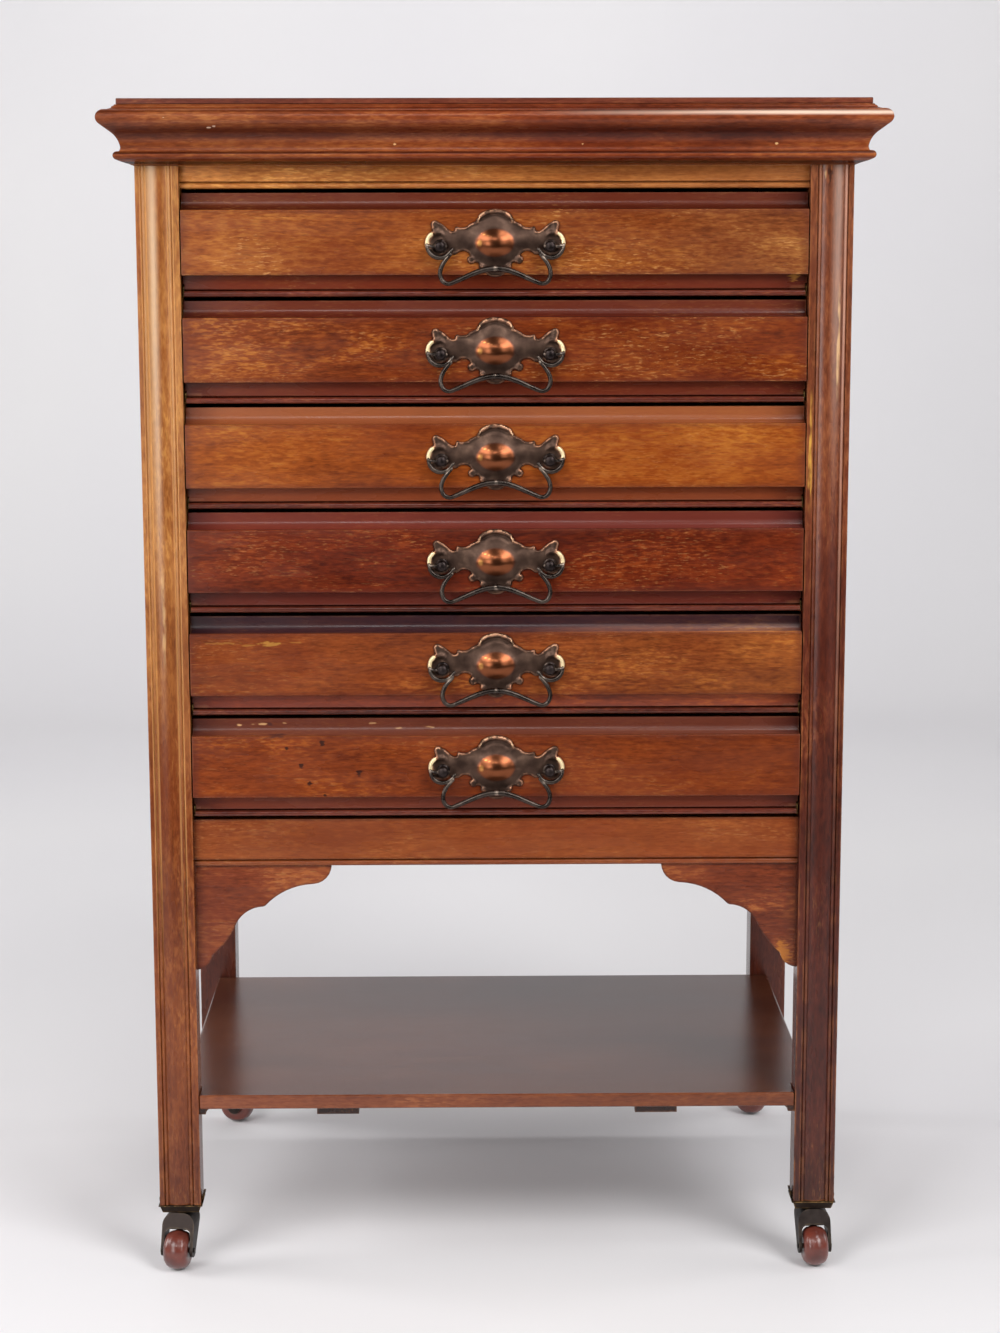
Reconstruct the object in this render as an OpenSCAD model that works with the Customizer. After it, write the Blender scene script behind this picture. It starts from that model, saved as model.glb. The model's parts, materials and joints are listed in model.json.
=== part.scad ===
// Music cabinet: six drawers with fall fronts, an open bay and a shelf on castors.
// The front faces -Y, +Z is up and the wheels stand on z = 0.

/* [Case] */
// Width over the outer faces of the legs
case_w = 530; // [480:1:600]
// Depth from the leg faces to the back
case_d = 360; // [330:1:420]
// Width of every leg across the front
leg_w = 32; // [30:1:36]
// Depth of the front legs
front_leg_d = 23; // [22:1:32]
// Depth of the back legs
back_leg_d = 31; // [28:1:36]
// Thickness of the side panels
side_t = 10; // [6:1:12]
// How far the side panels lie behind the legs' outer faces
side_set_in = 6; // [3:1:8]
// Thickness of the back panel
back_t = 8; // [5:1:10]

/* [Heights] */
// Height of the legs' feet above the floor
castor_h = 51; // [50:1:56]
// Height of the shelf's top face
shelf_z = 140; // [120:1:180]
// Clear height from the shelf to the lower rail
bay_h = 182.3; // [150:0.1:240]
// Height of the lower rail
rail_h = 37; // [30:0.1:45]
// Visible height of the frieze rail
frieze_h = 16.5; // [15:0.5:30]

/* [Rails] */
// Thickness of the two rails across the front
rail_t = 15; // [12:0.5:20]
// How far the rails lie behind the legs' faces, so that the lowest bail clears its rail
rail_set_in = 8; // [7.8:0.1:9]

/* [Cornice] */
// Height of the cornice with the edge of the top board
cornice_h = 48.2; // [48:0.1:56]
// How far the top board stands out over the case
top_over = 11; // [9:0.5:12]
// Thickness of the top board
top_t = 10; // [8:0.5:14]
// Thickness of the top board's projecting edge
top_lip_t = 4.4; // [4:0.1:5]
// Width of the hairline at the mitred corners
mitre_gap = 0.1; // [0.1:0.05:0.3]

/* [Drawers] */
// Height of one drawer front
drawer_h = 76; // [72:0.5:90]
// Gap between one drawer front and the next
drawer_gap = 3; // [2.5:0.1:4]
// Gap between a drawer and the leg beside it
drawer_side_gap = 1; // [0.8:0.1:1.5]
// How far the raised field stands proud of the legs
field_proud = 1; // [0.5:0.1:1.5]
// Height of the recessed band above the field
band_h = 12.3; // [11:0.1:14]
// Height of the recessed strip below the field
strip_h = 11.1; // [10:0.1:12]
// Thickness of the fall front behind the strip
fall_t = 9.6; // [9:0.1:12]
// Thickness of the drawer sides
drawer_side_t = 10; // [9:0.5:12]
// Thickness of the drawer's back board
drawer_back_t = 8; // [6:0.5:10]
// Thickness of the drawer's bottom board
drawer_floor_t = 4; // [3:0.5:6]
// Height of the runners
runner_h = 9; // [8:0.5:12]
// How deep a runner reaches into the drawer side
runner_bite = 5.5; // [4:0.5:6]
// Clearance all round a runner in its groove
runner_gap = 0.3; // [0.3:0.1:0.6]

/* [Shelf] */
// Thickness of the shelf
shelf_t = 11; // [8:0.5:14]
// Width of each batten under the shelf
batten_w = 33; // [25:1:45]
// Thickness of each batten under the shelf
batten_t = 8; // [6:0.5:12]
// Distance from the middle to the middle of each batten
batten_x = 125; // [100:1:150]

/* [Brackets] */
// Thickness of the shaped brackets
bracket_t = 8; // [6:0.5:10]
// How far the brackets lie behind the lower rail's face
bracket_set_in = 3; // [2:0.5:5]

/* [Handles] */
// Distance from the middle of a handle to each post
post_x = 40.6; // [39:0.1:42]
// How far the posts lie below the middle of the plate
post_drop = 3; // [2:0.1:4]
// Thickness of the pressed plate
plate_t = 1.2; // [0.8:0.1:1.4]
// Radius of each post
post_r = 4.4; // [4:0.1:4.8]
// Distance from the drawer face to the bail's axis
bail_out = 7; // [7:0.1:8]
// Radius of the bail's rod
bail_r = 1.65; // [1.4:0.05:1.8]

/* [Castors] */
// Diameter of the wheels
wheel_d = 31; // [28:0.5:34]
// Width of the wheels
wheel_w = 19; // [16:0.5:20]
// Distance from the swivel's axis to the axle
trail = 14; // [12:0.5:16]
// Clear width between the arms of the fork
fork_gap = 20.8; // [20.8:0.1:22]
// Thickness of the fork's arms
fork_t = 2.4; // [2:0.1:3]
// Gap between each wheel and the fork's crown over it
crown_gap = 1.4; // [1:0.1:4]
// How far the bent prong stands up beside a leg
prong_h = 7.5; // [5:0.5:12]
// Radius of the axles
axle_r = 2; // [1.5:0.1:2.5]
// Radius of the swivel pins
pintle_r = 4; // [3:0.1:5]
// Running clearance of pins and axles in their holes
pin_gap = 0.06; // [0.03:0.01:0.1]

/* [Hidden] */
$fn = 48;
drawer_count = 6;
mahogany = "SaddleBrown";
mahogany_dark = "Sienna";
pale_wood = "BurlyWood";
copper = "#8a5a44";
bronze = "#3a2c28";
brass = "#6b5a3c";
wheel_brown = "#4a1a16";

// The moulding's nose and the back bound the box, so they set the middle of y
nose_over = 24.5;
face_y = (nose_over - case_d) / 2;
back_y = (nose_over + case_d) / 2;
leg_in = case_w / 2 - leg_w;
front_leg_y = face_y + front_leg_d;
back_leg_y = back_y - back_leg_d;
panel_out = case_w / 2 - side_set_in;
panel_in = panel_out - side_t;

bay_top_z = shelf_z + bay_h;
rail_top_z = bay_top_z + rail_h;
pitch = drawer_h + drawer_gap;
frieze_z = rail_top_z + drawer_count * pitch + drawer_gap;
cornice_z = frieze_z + frieze_h;
top_z = cornice_z + cornice_h;
carcase_top_z = top_z - top_t;
rail_y = face_y + rail_set_in;
rail_back_y = rail_y + rail_t;
bead_r = 2.2;

// Drawer levels are counted down from the top edge of its front
field_y = face_y - field_proud;
strip_y = face_y + 7.2;
band_y = face_y + 8;
band_flat = 5.2;
fall_back_y = strip_y + fall_t;
box_front_y = fall_back_y + 0.6;
box_back_y = back_y - back_t - 6;
box_half = leg_in - 1.5;
front_half = leg_in - drawer_side_gap;
nosing_h = 4.5;
nosing_out = 2.4;
fall_gap = 0.4;
fall_low = drawer_h - nosing_h - fall_gap;
field_low = fall_low - strip_h;
hinge_in = 1.5;
hinge_y = strip_y + hinge_in;
hinge_low = fall_low - hinge_in;
hinge_pin_r = 0.9;
hinge_plate_t = 0.8;
hinge_plate_gap = 0.3;
hinge_plate_r = 3.2;
hinge_pin_l = 11;
side_low = 5;
floor_up = 12;
cleat_t = 8;
groove_mid = 36;
glue_line = 0.05;
handle_low = (band_h + field_low) / 2;

wheel_r = wheel_d / 2;
cup_h = 6.5;
cup_over = 1.1;
cup_in = 3;
flange_t = 0.8;
horn_top = castor_h - cup_h - 0.6;
crown_under = wheel_d + crown_gap;
horn_half = fork_gap / 2 + fork_t;
shoulder_r = 9;
fork_r = 5;
front_left_turn = 170.5;
front_right_turn = 184;
back_left_turn = 260;
back_right_turn = 50;

// x, y and turn of each castor: 0 trails to the back, and turning is to the left
castors = [
    [-1, 1, front_left_turn],
    [1, 1, front_right_turn],
    [-1, 0, back_left_turn],
    [1, 0, back_right_turn]
];

// Points along an arc, both ends included
function arc(c, r, a0, a1, n = 6) =
    [for (i = [0:n]) c + r * [cos(a0 + (a1 - a0) * i / n), sin(a0 + (a1 - a0) * i / n)]];

// Height of the top edge of a drawer's front, with drawer 1 at the top
function drawer_top(k) = rail_top_z + (drawer_count + 1 - k) * pitch;

// An outline in y and z, drawn out along x
module along_x(x0, x1) {
    translate([x0, 0, 0])
        rotate([90, 0, 90])
            linear_extrude(x1 - x0) children();
}

// A board between two corners
module board(low, high) {
    translate(low) cube(high - low);
}

// The same piece on the left and on the right
module both_sides() {
    children();
    mirror([1, 0, 0]) children();
}

// Legs

// Half of a front leg's moulded face: fillet, bead, shallow round, bead and flat
function leg_face() = concat(
    [[0, 0], [3.6, 0], [4.1, 1.5]],
    arc([5.6, 1.4], 1.3, 180, 360, 6),
    [[7.1, 1.7]],
    arc([15.2, 21], 21, 248, 292, 10),
    [[23.3, 1.7]],
    arc([24.8, 1.4], 1.3, 180, 360, 6),
    [[26.5, 1.5], [26.9, 0], [leg_w, 0]]
);

module front_leg() {
    color(mahogany)
        translate([-case_w / 2, face_y, castor_h])
            linear_extrude(carcase_top_z - castor_h)
                polygon(concat(leg_face(), [[leg_w, front_leg_d], [0, front_leg_d]]));
}

module back_leg() {
    color(mahogany)
        board([-case_w / 2, back_leg_y, castor_h], [-leg_in, back_y, carcase_top_z]);
}

module leg_front_left() {
    front_leg();
}

module leg_front_right() {
    mirror([1, 0, 0]) front_leg();
}

module leg_back_left() {
    back_leg();
}

module leg_back_right() {
    mirror([1, 0, 0]) back_leg();
}

// Case

module top_board() {
    color(mahogany) {
        board([-case_w / 2 - top_over, face_y - top_over, top_z - top_lip_t],
            [case_w / 2 + top_over, back_y, top_z]);
        board([-case_w / 2, face_y, carcase_top_z], [case_w / 2, back_y, top_z - top_lip_t]);
    }
}

// Outline of the cornice: how far out, and how far down from the top
function cornice_outline() = concat(
    [[0, -top_lip_t], [12, -top_lip_t], [12.3, -5.2], [13.7, -5.8], [14, -6.9], [15.8, -7.5]],
    arc([18.6, -13.9], nose_over - 18.6, 100, -55, 14),
    arc([25.3, -37.3], 16.7, 125, 173, 10),
    [[9.2, -36.9]],
    arc([10.8, -40.9], 3.1, 110, -62, 10),
    [[8.6, -45.2], [4, -46.6], [0, -cornice_h]]
);

// One straight run of the cornice along x, standing out to -Y
module cornice_run(length) {
    along_x(-length / 2, length / 2)
        mirror([1, 0]) polygon(cornice_outline());
}

module cornice_moulding() {
    out = nose_over + 5;
    half = case_w / 2;
    hair = mitre_gap / 2;
    color(mahogany) {
        intersection() {
            translate([0, face_y, top_z]) cornice_run(case_w + 2 * out);
            linear_extrude(top_z + 1)
                polygon([[-half + hair, face_y], [half - hair, face_y],
                    [half + out - hair, face_y - out], [-half - out + hair, face_y - out]]);
        }
        both_sides()
            intersection() {
                translate([half, 0, top_z])
                    rotate([0, 0, 90]) cornice_run(2 * case_d);
                linear_extrude(top_z + 1)
                    polygon([[half, face_y + hair], [half + out, face_y - out + hair],
                        [half + out, back_y], [half, back_y]]);
            }
    }
}

// A rail with a bead along its lower edge. Above shown it may step out to the legs' faces
module beaded_rail(low, shown, high) {
    bead_h = 2 * bead_r;
    color(mahogany)
        along_x(-leg_in, leg_in)
            polygon(concat(
                [[rail_back_y, high], [rail_back_y, low], [rail_y + bead_r, low]],
                arc([rail_y + bead_r, low + bead_r], bead_r, 270, 90, 8),
                [[rail_y + bead_r, low + bead_h + 0.5], [rail_y, low + bead_h + 1.1],
                    [rail_y, shown]],
                high > shown ? [[face_y, shown], [face_y, high]] : []
            ));
}

// The frieze rail's upper part backs the cornice
module frieze_rail() {
    beaded_rail(frieze_z, cornice_z, carcase_top_z);
}

module lower_rail() {
    beaded_rail(bay_top_z, rail_top_z, rail_top_z);
}

// Outline of a bracket, measured from the leg's inner face and the rail's underside
function bracket_outline() = concat(
    [[0, 0], [-105.5, 0]],
    arc([-90.5, 0], 15, 180, 265, 6),
    arc([-93, -68.4], 53.4, 87, 42.9, 8),
    arc([-53, -57.5], 24.7, 88, 18, 8),
    arc([24.9, -24.5], 60, 205, 231.6, 5),
    arc([1.4, -69.3], 14, 190, 264, 6),
    [[0, -83.2]]
);

module brackets() {
    color(mahogany)
        both_sides()
            translate([leg_in, rail_y + bracket_set_in + bracket_t, bay_top_z])
                rotate([90, 0, 0])
                    linear_extrude(bracket_t) polygon(bracket_outline());
}

module side_panels() {
    color(mahogany)
        both_sides()
            board([panel_in, front_leg_y, bay_top_z], [panel_out, back_leg_y, carcase_top_z]);
}

module back_panel() {
    color(mahogany_dark)
        board([-leg_in, back_y - back_t, bay_top_z], [leg_in, back_y, carcase_top_z]);
}

module bottom_board() {
    low = rail_top_z - 10;
    color(mahogany_dark) {
        board([-leg_in, rail_back_y, low], [leg_in, back_y - back_t, low + 6]);
        board([-panel_in, max(front_leg_y, rail_back_y), low],
            [panel_in, back_leg_y, low + 6]);
    }
}

module drawer_runners() {
    color(pale_wood)
        both_sides()
            for (k = [1:drawer_count])
                translate([0, 0, drawer_top(k) - groove_mid])
                    board([box_half - runner_bite, front_leg_y, -runner_h / 2],
                        [panel_in, back_leg_y, runner_h / 2]);
}

// Shelf

module shelf() {
    side = leg_in + leg_w / 2 - 0.7;
    color(mahogany) {
        board([-leg_in, face_y + 1, shelf_z - shelf_t], [leg_in, back_leg_y, shelf_z]);
        board([-side, front_leg_y, shelf_z - shelf_t], [side, back_leg_y, shelf_z]);
    }
}

// Two battens, and the small curved blocks where the shelf meets the front legs
module shelf_battens() {
    under = shelf_z - shelf_t;
    block = 10;
    color(mahogany_dark)
        both_sides() {
            board([batten_x - batten_w / 2, face_y + 12, under - batten_t],
                [batten_x + batten_w / 2, back_leg_y - 12, under]);
            translate([leg_in, face_y + 9, under])
                rotate([90, 0, 0])
                    linear_extrude(5)
                        polygon(concat([[0, 0]], arc([-block, -block / 2], block / 2, 90, 0, 6),
                            [[0, -block / 2]]));
        }
}

// Drawers, each made at z = 0 for the top edge of its front

module drawer_box(k) {
    half = box_half;
    low = -drawer_h;
    tread = low + floor_up;
    groove = runner_h / 2 + runner_gap;
    color(pale_wood)
        translate([0, 0, drawer_top(k)]) {
            both_sides()
                difference() {
                    board([half - drawer_side_t, box_front_y, low], [half, box_back_y, -side_low]);
                    board([half - runner_bite - runner_gap, front_leg_y - runner_gap,
                        -groove_mid - groove], [half + 1, box_back_y + 1, -groove_mid + groove]);
                }
            inner = half - drawer_side_t - glue_line;
            board([-inner, box_back_y - drawer_back_t, low], [inner, box_back_y, -side_low]);
            board([-inner, box_front_y + cleat_t + glue_line, tread],
                [inner, box_back_y - drawer_back_t - glue_line, tread + drawer_floor_t]);
        }
}

// The fixed front edge of the drawer's bottom, rounded like a bead, and the cleat behind it
module nosing(k) {
    r = nosing_h / 2;
    end = front_half - hinge_plate_t;
    y0 = strip_y - nosing_out;
    color(mahogany_dark)
        translate([0, 0, drawer_top(k) - drawer_h]) {
            along_x(-end, end)
                polygon(concat(arc([y0 + r, r], r, 270, 90, 8),
                    [[box_front_y, nosing_h], [box_front_y, 0]]));
            inner = box_half - drawer_side_t - glue_line;
            board([-inner, box_front_y - 1, 0], [inner, box_front_y, nosing_h]);
            board([-inner, box_front_y, 0],
                [inner, box_front_y + cleat_t, floor_up + drawer_floor_t]);
        }
}

// A plate at each end of the nosing, with the pin that the fall front turns on
module hinge_pins(k) {
    up = drawer_h - hinge_low;
    color(brass)
        translate([0, hinge_y, drawer_top(k) - drawer_h])
            both_sides()
                translate([front_half, 0, 0])
                    rotate([0, -90, 0]) {
                        linear_extrude(hinge_plate_t)
                            polygon(concat([[0, -hinge_plate_r + 1]],
                                arc([up, 0], hinge_plate_r - 1, 270, 450, 10),
                                [[0, hinge_plate_r - 1]]));
                        translate([up, 0, 0])
                            cylinder(h = hinge_plate_t + hinge_pin_l, r = hinge_pin_r);
                    }
}

// Band, raised field and strip in one board, with room at its ends for the hinge plates
module fall_front(k) {
    cove_r = band_h - band_flat;
    cove_y = band_y - cove_r;
    half = front_half;
    color(mahogany)
        translate([0, 0, drawer_top(k)])
            difference() {
                along_x(-half, half)
                    polygon(concat(
                        [[fall_back_y, 0], [band_y, 0]],
                        arc([cove_y, -band_flat], cove_r, 0, -82, 8),
                        [[field_y + 0.5, -band_h], [field_y, -band_h - 0.5],
                            [field_y, -field_low + 0.5], [field_y + 0.5, -field_low],
                            [strip_y, -field_low]],
                        arc([hinge_y, -hinge_low], hinge_in, 180, 270, 5),
                        [[hinge_y + 1, -fall_low], [fall_back_y, -hinge_low + 2]]
                    ));
                both_sides()
                    translate([half - hinge_plate_t - hinge_plate_gap, hinge_y, -hinge_low]) {
                        board([0, -20, -10], [5, 20, hinge_plate_r]);
                        rotate([0, -90, 0])
                            translate([0, 0, -1])
                                cylinder(h = hinge_pin_l + 1, r = hinge_pin_r + pin_gap);
                    }
                both_sides()
                    translate([post_x, field_y, -handle_low - post_drop])
                        rotate([90, 0, 0])
                            cylinder(h = 60, r = 2.1, center = true);
            }
}

// Handles, each made round the middle of its plate, with z = 0 on the drawer's face

// The arch over the dome is part of a circle
arch_c = [0, 5.3];
arch_r = 19;
arch_from = 54;

// Right half of the plate's outline, from the bottom tip to the top
function plate_half() = concat(
    [[0, -25.6]],
    arc([0, -15.4], 10.2, 284, 336, 4),
    arc([10.2, -17.6], 1.9, 270, 395, 4),
    [[13.2, -14.6]],
    arc([17.6, -12.6], 3.2, 225, 390, 6),
    [[18.6, -9.9], [19.2, -8.2], [21.2, -6.8], [23.8, -6.3], [26.6, -7], [29.2, -9], [32.4, -9]],
    arc([42.4, -0.6], 9.6, 225, 426, 14),
    [[46.6, 9.2]],
    arc([44.4, 12.8], 3.1, -35, 140, 6),
    [[39.4, 13.4], [37, 11.4], [34.4, 9], [32, 7.9], [30.2, 8.2]],
    arc([28.4, 10.2], 1.2, 0, 120, 3),
    [[26.2, 10.6], [22.6, 10.8], [20.2, 11.9], [19.2, 13], [15.8, 14.6], [13.6, 15.4]],
    arc([12.6, 16.4], 1.2, -60, 60, 3),
    arc([9.3, 18.1], 3.2, -10, arch_from, 4),
    arc(arch_c, arch_r, arch_from, 90, 6)
);

function plate_outline() = concat(
    plate_half(),
    [for (i = [len(plate_half()) - 2:-1:1]) [-plate_half()[i][0], plate_half()[i][1]]]
);

// A low round dome that stands on the drawer's face
module dome(r, high) {
    ball = (r * r + high * high) / (2 * high);
    intersection() {
        translate([0, 0, high - ball]) sphere(ball);
        translate([0, 0, plate_t / 2]) cylinder(h = high, r = r);
    }
}

// The raised rim of the arch
module arch_rim(r = 1.1, inside = 1.4) {
    translate([arch_c[0], arch_c[1], plate_t - 0.2])
        rotate([0, 0, arch_from])
            rotate_extrude(angle = 180 - 2 * arch_from)
                translate([arch_r - inside, 0]) circle(r);
}

module handle_plate(k) {
    hole = bail_r - 0.3 + pin_gap;
    color(copper)
        translate([0, field_y, drawer_top(k) - handle_low])
            rotate([90, 0, 0])
                difference() {
                    union() {
                        linear_extrude(plate_t) polygon(plate_outline());
                        arch_rim();
                        both_sides() {
                            translate([5.5, -1.2, 0]) dome(11.8, 5.2);
                            translate([post_x, -post_drop, 0]) {
                                cylinder(h = bail_out + 2.2, r = post_r);
                                translate([0, 0, bail_out + 2.2])
                                    cylinder(h = 1.2, r1 = post_r, r2 = post_r - 1.4);
                                translate([0, 0, field_y - fall_back_y])
                                    cylinder(h = fall_back_y - field_y + 1, r = 1.9);
                            }
                        }
                    }
                    both_sides()
                        translate([post_x, -post_drop, bail_out])
                            rotate([0, 90, 0])
                                cylinder(h = 4 * post_r, r = hole, center = true);
                }
}

// A round rod along a flat path, r0 thick at its start and r1 at its end
module rod(path, r0, r1, sides = 8) {
    last = len(path) - 1;
    function heading(i) =
        let (d = path[min(i + 1, last)] - path[max(i - 1, 0)]) atan2(d[1], d[0]);
    function on_ring(i, j) =
        let (r = r0 + (r1 - r0) * i / last, a = 360 * (j + 0.5) / sides, h = heading(i))
        [path[i][0] - r * cos(a) * sin(h), path[i][1] + r * cos(a) * cos(h), r * sin(a)];
    points = [for (i = [0:last], j = [0:sides - 1]) on_ring(i, j)];
    walls = [for (i = [0:last - 1], j = [0:sides - 1])
        let (a = i * sides + j, b = i * sides + (j + 1) % sides)
        each [[a, a + sides, b], [b, a + sides, b + sides]]];
    ends = [[for (j = [0:sides - 1]) j], [for (j = [sides - 1:-1:0]) last * sides + j]];
    polyhedron(points, concat(walls, ends));
}

// Bail: pins in the posts, a crescent under each post, and the wavy grip below
crescent_c = [post_x + 0.4, 1 - post_drop];
crescent_r = 9.4;
side_c = [post_x - 14.4, -15.8 - post_drop];
side_r = 14.2;
side_a = -48.8;
corner_r = 3.5;
corner_c = side_c + (side_r - corner_r) * [cos(side_a), sin(side_a)];
slope = 22;
corner_end = corner_c + corner_r * [cos(-90 - slope), sin(-90 - slope)];
crown_r = 24;
crown_x = crown_r * sin(slope);
crown_z = corner_end[1] + (corner_end[0] - crown_x) * tan(slope);

function grip_half() = concat(
    arc(side_c, side_r, 34, side_a, 7),
    arc(corner_c, corner_r, side_a - 20, -90 - slope, 3),
    [(corner_end + [crown_x, crown_z]) / 2],
    arc([0, crown_z - crown_r * cos(slope)], crown_r, 90 - slope, 90, 3)
);

module bail(k) {
    pin_from = post_x - post_r - 1;
    pin_to = crescent_c[0] + crescent_r;
    color(bronze)
        translate([0, field_y, drawer_top(k) - handle_low])
            rotate([90, 0, 0])
                translate([0, 0, bail_out])
                    both_sides() {
                        translate([pin_from, -post_drop, 0])
                            rotate([0, 90, 0])
                                cylinder(h = pin_to - pin_from, r = bail_r - 0.3);
                        rod(concat([[pin_to, 1.2 - post_drop]],
                            arc(crescent_c, crescent_r, 0, -150, 10),
                            [crescent_c + [-7, -1.4]]), bail_r, bail_r - 0.5);
                        rod(grip_half(), bail_r - 0.1, bail_r + 0.35);
                    }
}

// Castors

// Middle of the leg that a castor stands under
function castor_at(c) = [
    c[0] * (case_w - leg_w) / 2,
    c[1] == 1 ? face_y + front_leg_d / 2 : back_y - back_leg_d / 2,
    0
];

// A block that tapers from its top at z = 0 to a smaller foot
module taper(top, foot, h) {
    corner = [[-0.5, -0.5], [0.5, -0.5], [0.5, 0.5], [-0.5, 0.5]];
    polyhedron(
        concat([for (c = corner) [c[0] * foot[0], c[1] * foot[1], -h]],
            [for (c = corner) [c[0] * top[0], c[1] * top[1], 0]]),
        [[0, 1, 2, 3], [7, 6, 5, 4], [0, 4, 5, 1], [1, 5, 6, 2], [2, 6, 7, 3], [3, 7, 4, 0]]
    );
}

// A shallow tapered cup under each leg, with a thin prong bent up beside it
module castor_sockets() {
    color(bronze)
        for (c = castors)
            translate(castor_at(c) + [0, 0, castor_h]) {
                front = c[1] == 1;
                deep = (front ? front_leg_d : back_leg_d) + (front ? 2 : 0) * cup_over;
                wide = [leg_w + 2 * cup_over, deep];
                foot = wide - 2 * cup_in * [1, 1];
                difference() {
                    union() {
                        translate([-wide[0] / 2, -wide[1] / 2, -flange_t])
                            cube([wide[0], wide[1], flange_t]);
                        translate([0, 0, -flange_t])
                            taper(wide - [2, 2], foot, cup_h - flange_t);
                    }
                    translate([0, 0, -cup_h - 1])
                        cylinder(h = cup_h + 2, r = pintle_r + pin_gap);
                }
                for (side = [-1, 1])
                    translate([0, 4, 0])
                        rotate([90, 0, 0])
                            linear_extrude(8)
                                polygon([[side * leg_w / 2, -flange_t],
                                    [side * (leg_w / 2 + 1), -flange_t],
                                    [side * (leg_w / 2 + 1 + (side == -c[0] ? 1.8 : 0.4)),
                                        side == -c[0] ? prong_h : 3.5],
                                    [side * (leg_w / 2 + (side == -c[0] ? 1.1 : 0)),
                                        side == -c[0] ? prong_h : 3.5]]);
            }
}

// How far behind the swivel axis the fork's slanting back edge lies at a height
function horn_back(z) = -7.5 + (horn_top - 5 - z) * (trail + 2.4) / (horn_top - 3.2 - wheel_r);

// A forged fork with its swivel pin and its axle
module castor_horn(i) {
    c = castors[i - 1];
    eye = 5.5;
    color(bronze)
        translate(castor_at(c))
            rotate([0, 0, c[2]]) {
                intersection() {
                    rotate([90, 0, 0])
                        translate([0, 0, -trail - 10])
                            linear_extrude(2 * trail + 20)
                                difference() {
                                    polygon(concat([[-horn_half, 0]],
                                        arc([-horn_half + shoulder_r, horn_top - shoulder_r],
                                            shoulder_r, 180, 90, 6),
                                        arc([horn_half - shoulder_r, horn_top - shoulder_r],
                                            shoulder_r, 90, 0, 6),
                                        [[horn_half, 0]]));
                                    polygon(concat([[-fork_gap / 2, -1]],
                                        arc([-fork_gap / 2 + fork_r, crown_under - fork_r],
                                            fork_r, 180, 90, 6),
                                        arc([fork_gap / 2 - fork_r, crown_under - fork_r],
                                            fork_r, 90, 0, 6),
                                        [[fork_gap / 2, -1]]));
                                }
                    along_x(-horn_half - 1, horn_half + 1)
                        polygon(concat(
                            [[-7.5, horn_top + 1], [-7.5, horn_top - 5]],
                            arc([trail, wheel_r], eye, 200, 400, 10),
                            [[13, horn_top - 9], [9.5, horn_top + 1]]
                        ));
                }
                // The crown's back comes down a little behind the wheel
                along_x(-fork_gap / 2 - 0.6, fork_gap / 2 + 0.6)
                    polygon([[horn_back(crown_under + 0.8), crown_under + 0.8],
                        [horn_back(wheel_d - 4), wheel_d - 4],
                        [horn_back(wheel_d - 4) + 1.8, wheel_d - 4],
                        [horn_back(crown_under + 0.8) + 2.4, crown_under + 0.8]]);
                translate([0, 0, horn_top - 1])
                    cylinder(h = 1.3, r = 7.5);
                translate([0, 0, horn_top - 1])
                    cylinder(h = castor_h - horn_top, r = pintle_r);
                translate([-horn_half - 0.8, trail, wheel_r])
                    rotate([0, 90, 0])
                        cylinder(h = 2 * horn_half + 1.6, r = axle_r);
            }
}

// A barrel-shaped wheel with rounded edges
module wheel(i) {
    c = castors[i - 1];
    edge = 6;
    crown = 0.9;
    color(wheel_brown)
        translate(castor_at(c))
            rotate([0, 0, c[2]])
                translate([-wheel_w / 2, trail, wheel_r])
                    rotate([0, 90, 0])
                        rotate_extrude()
                            polygon(concat(
                                [[axle_r + pin_gap, 0]],
                                arc([wheel_r - crown - edge, edge], edge, -90, -8, 6),
                                [[wheel_r, wheel_w / 2]],
                                arc([wheel_r - crown - edge, wheel_w - edge], edge, 8, 90, 6),
                                [[axle_r + pin_gap, wheel_w]]
                            ));
}

top_board();
cornice_moulding();
leg_front_left();
leg_front_right();
leg_back_left();
leg_back_right();
frieze_rail();
lower_rail();
brackets();
side_panels();
back_panel();
bottom_board();
drawer_runners();
shelf();
shelf_battens();
castor_sockets();
drawer_box(1);  // drawer_box_1
drawer_box(2);  // drawer_box_2
drawer_box(3);  // drawer_box_3
drawer_box(4);  // drawer_box_4
drawer_box(5);  // drawer_box_5
drawer_box(6);  // drawer_box_6
nosing(1);  // nosing_1
nosing(2);  // nosing_2
nosing(3);  // nosing_3
nosing(4);  // nosing_4
nosing(5);  // nosing_5
nosing(6);  // nosing_6
hinge_pins(1);  // hinge_pins_1
hinge_pins(2);  // hinge_pins_2
hinge_pins(3);  // hinge_pins_3
hinge_pins(4);  // hinge_pins_4
hinge_pins(5);  // hinge_pins_5
hinge_pins(6);  // hinge_pins_6
fall_front(1);  // fall_front_1
fall_front(2);  // fall_front_2
fall_front(3);  // fall_front_3
fall_front(4);  // fall_front_4
fall_front(5);  // fall_front_5
fall_front(6);  // fall_front_6
handle_plate(1);  // handle_plate_1
handle_plate(2);  // handle_plate_2
handle_plate(3);  // handle_plate_3
handle_plate(4);  // handle_plate_4
handle_plate(5);  // handle_plate_5
handle_plate(6);  // handle_plate_6
bail(1);  // bail_1
bail(2);  // bail_2
bail(3);  // bail_3
bail(4);  // bail_4
bail(5);  // bail_5
bail(6);  // bail_6
castor_horn(1);  // castor_horn_1
castor_horn(2);  // castor_horn_2
castor_horn(3);  // castor_horn_3
castor_horn(4);  // castor_horn_4
wheel(1);  // wheel_1
wheel(2);  // wheel_2
wheel(3);  // wheel_3
wheel(4);  // wheel_4
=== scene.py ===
"""Music cabinet: polish, handles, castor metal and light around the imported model."""

import json
import math

import bmesh
import bpy
from mathutils import Matrix, Vector


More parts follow.
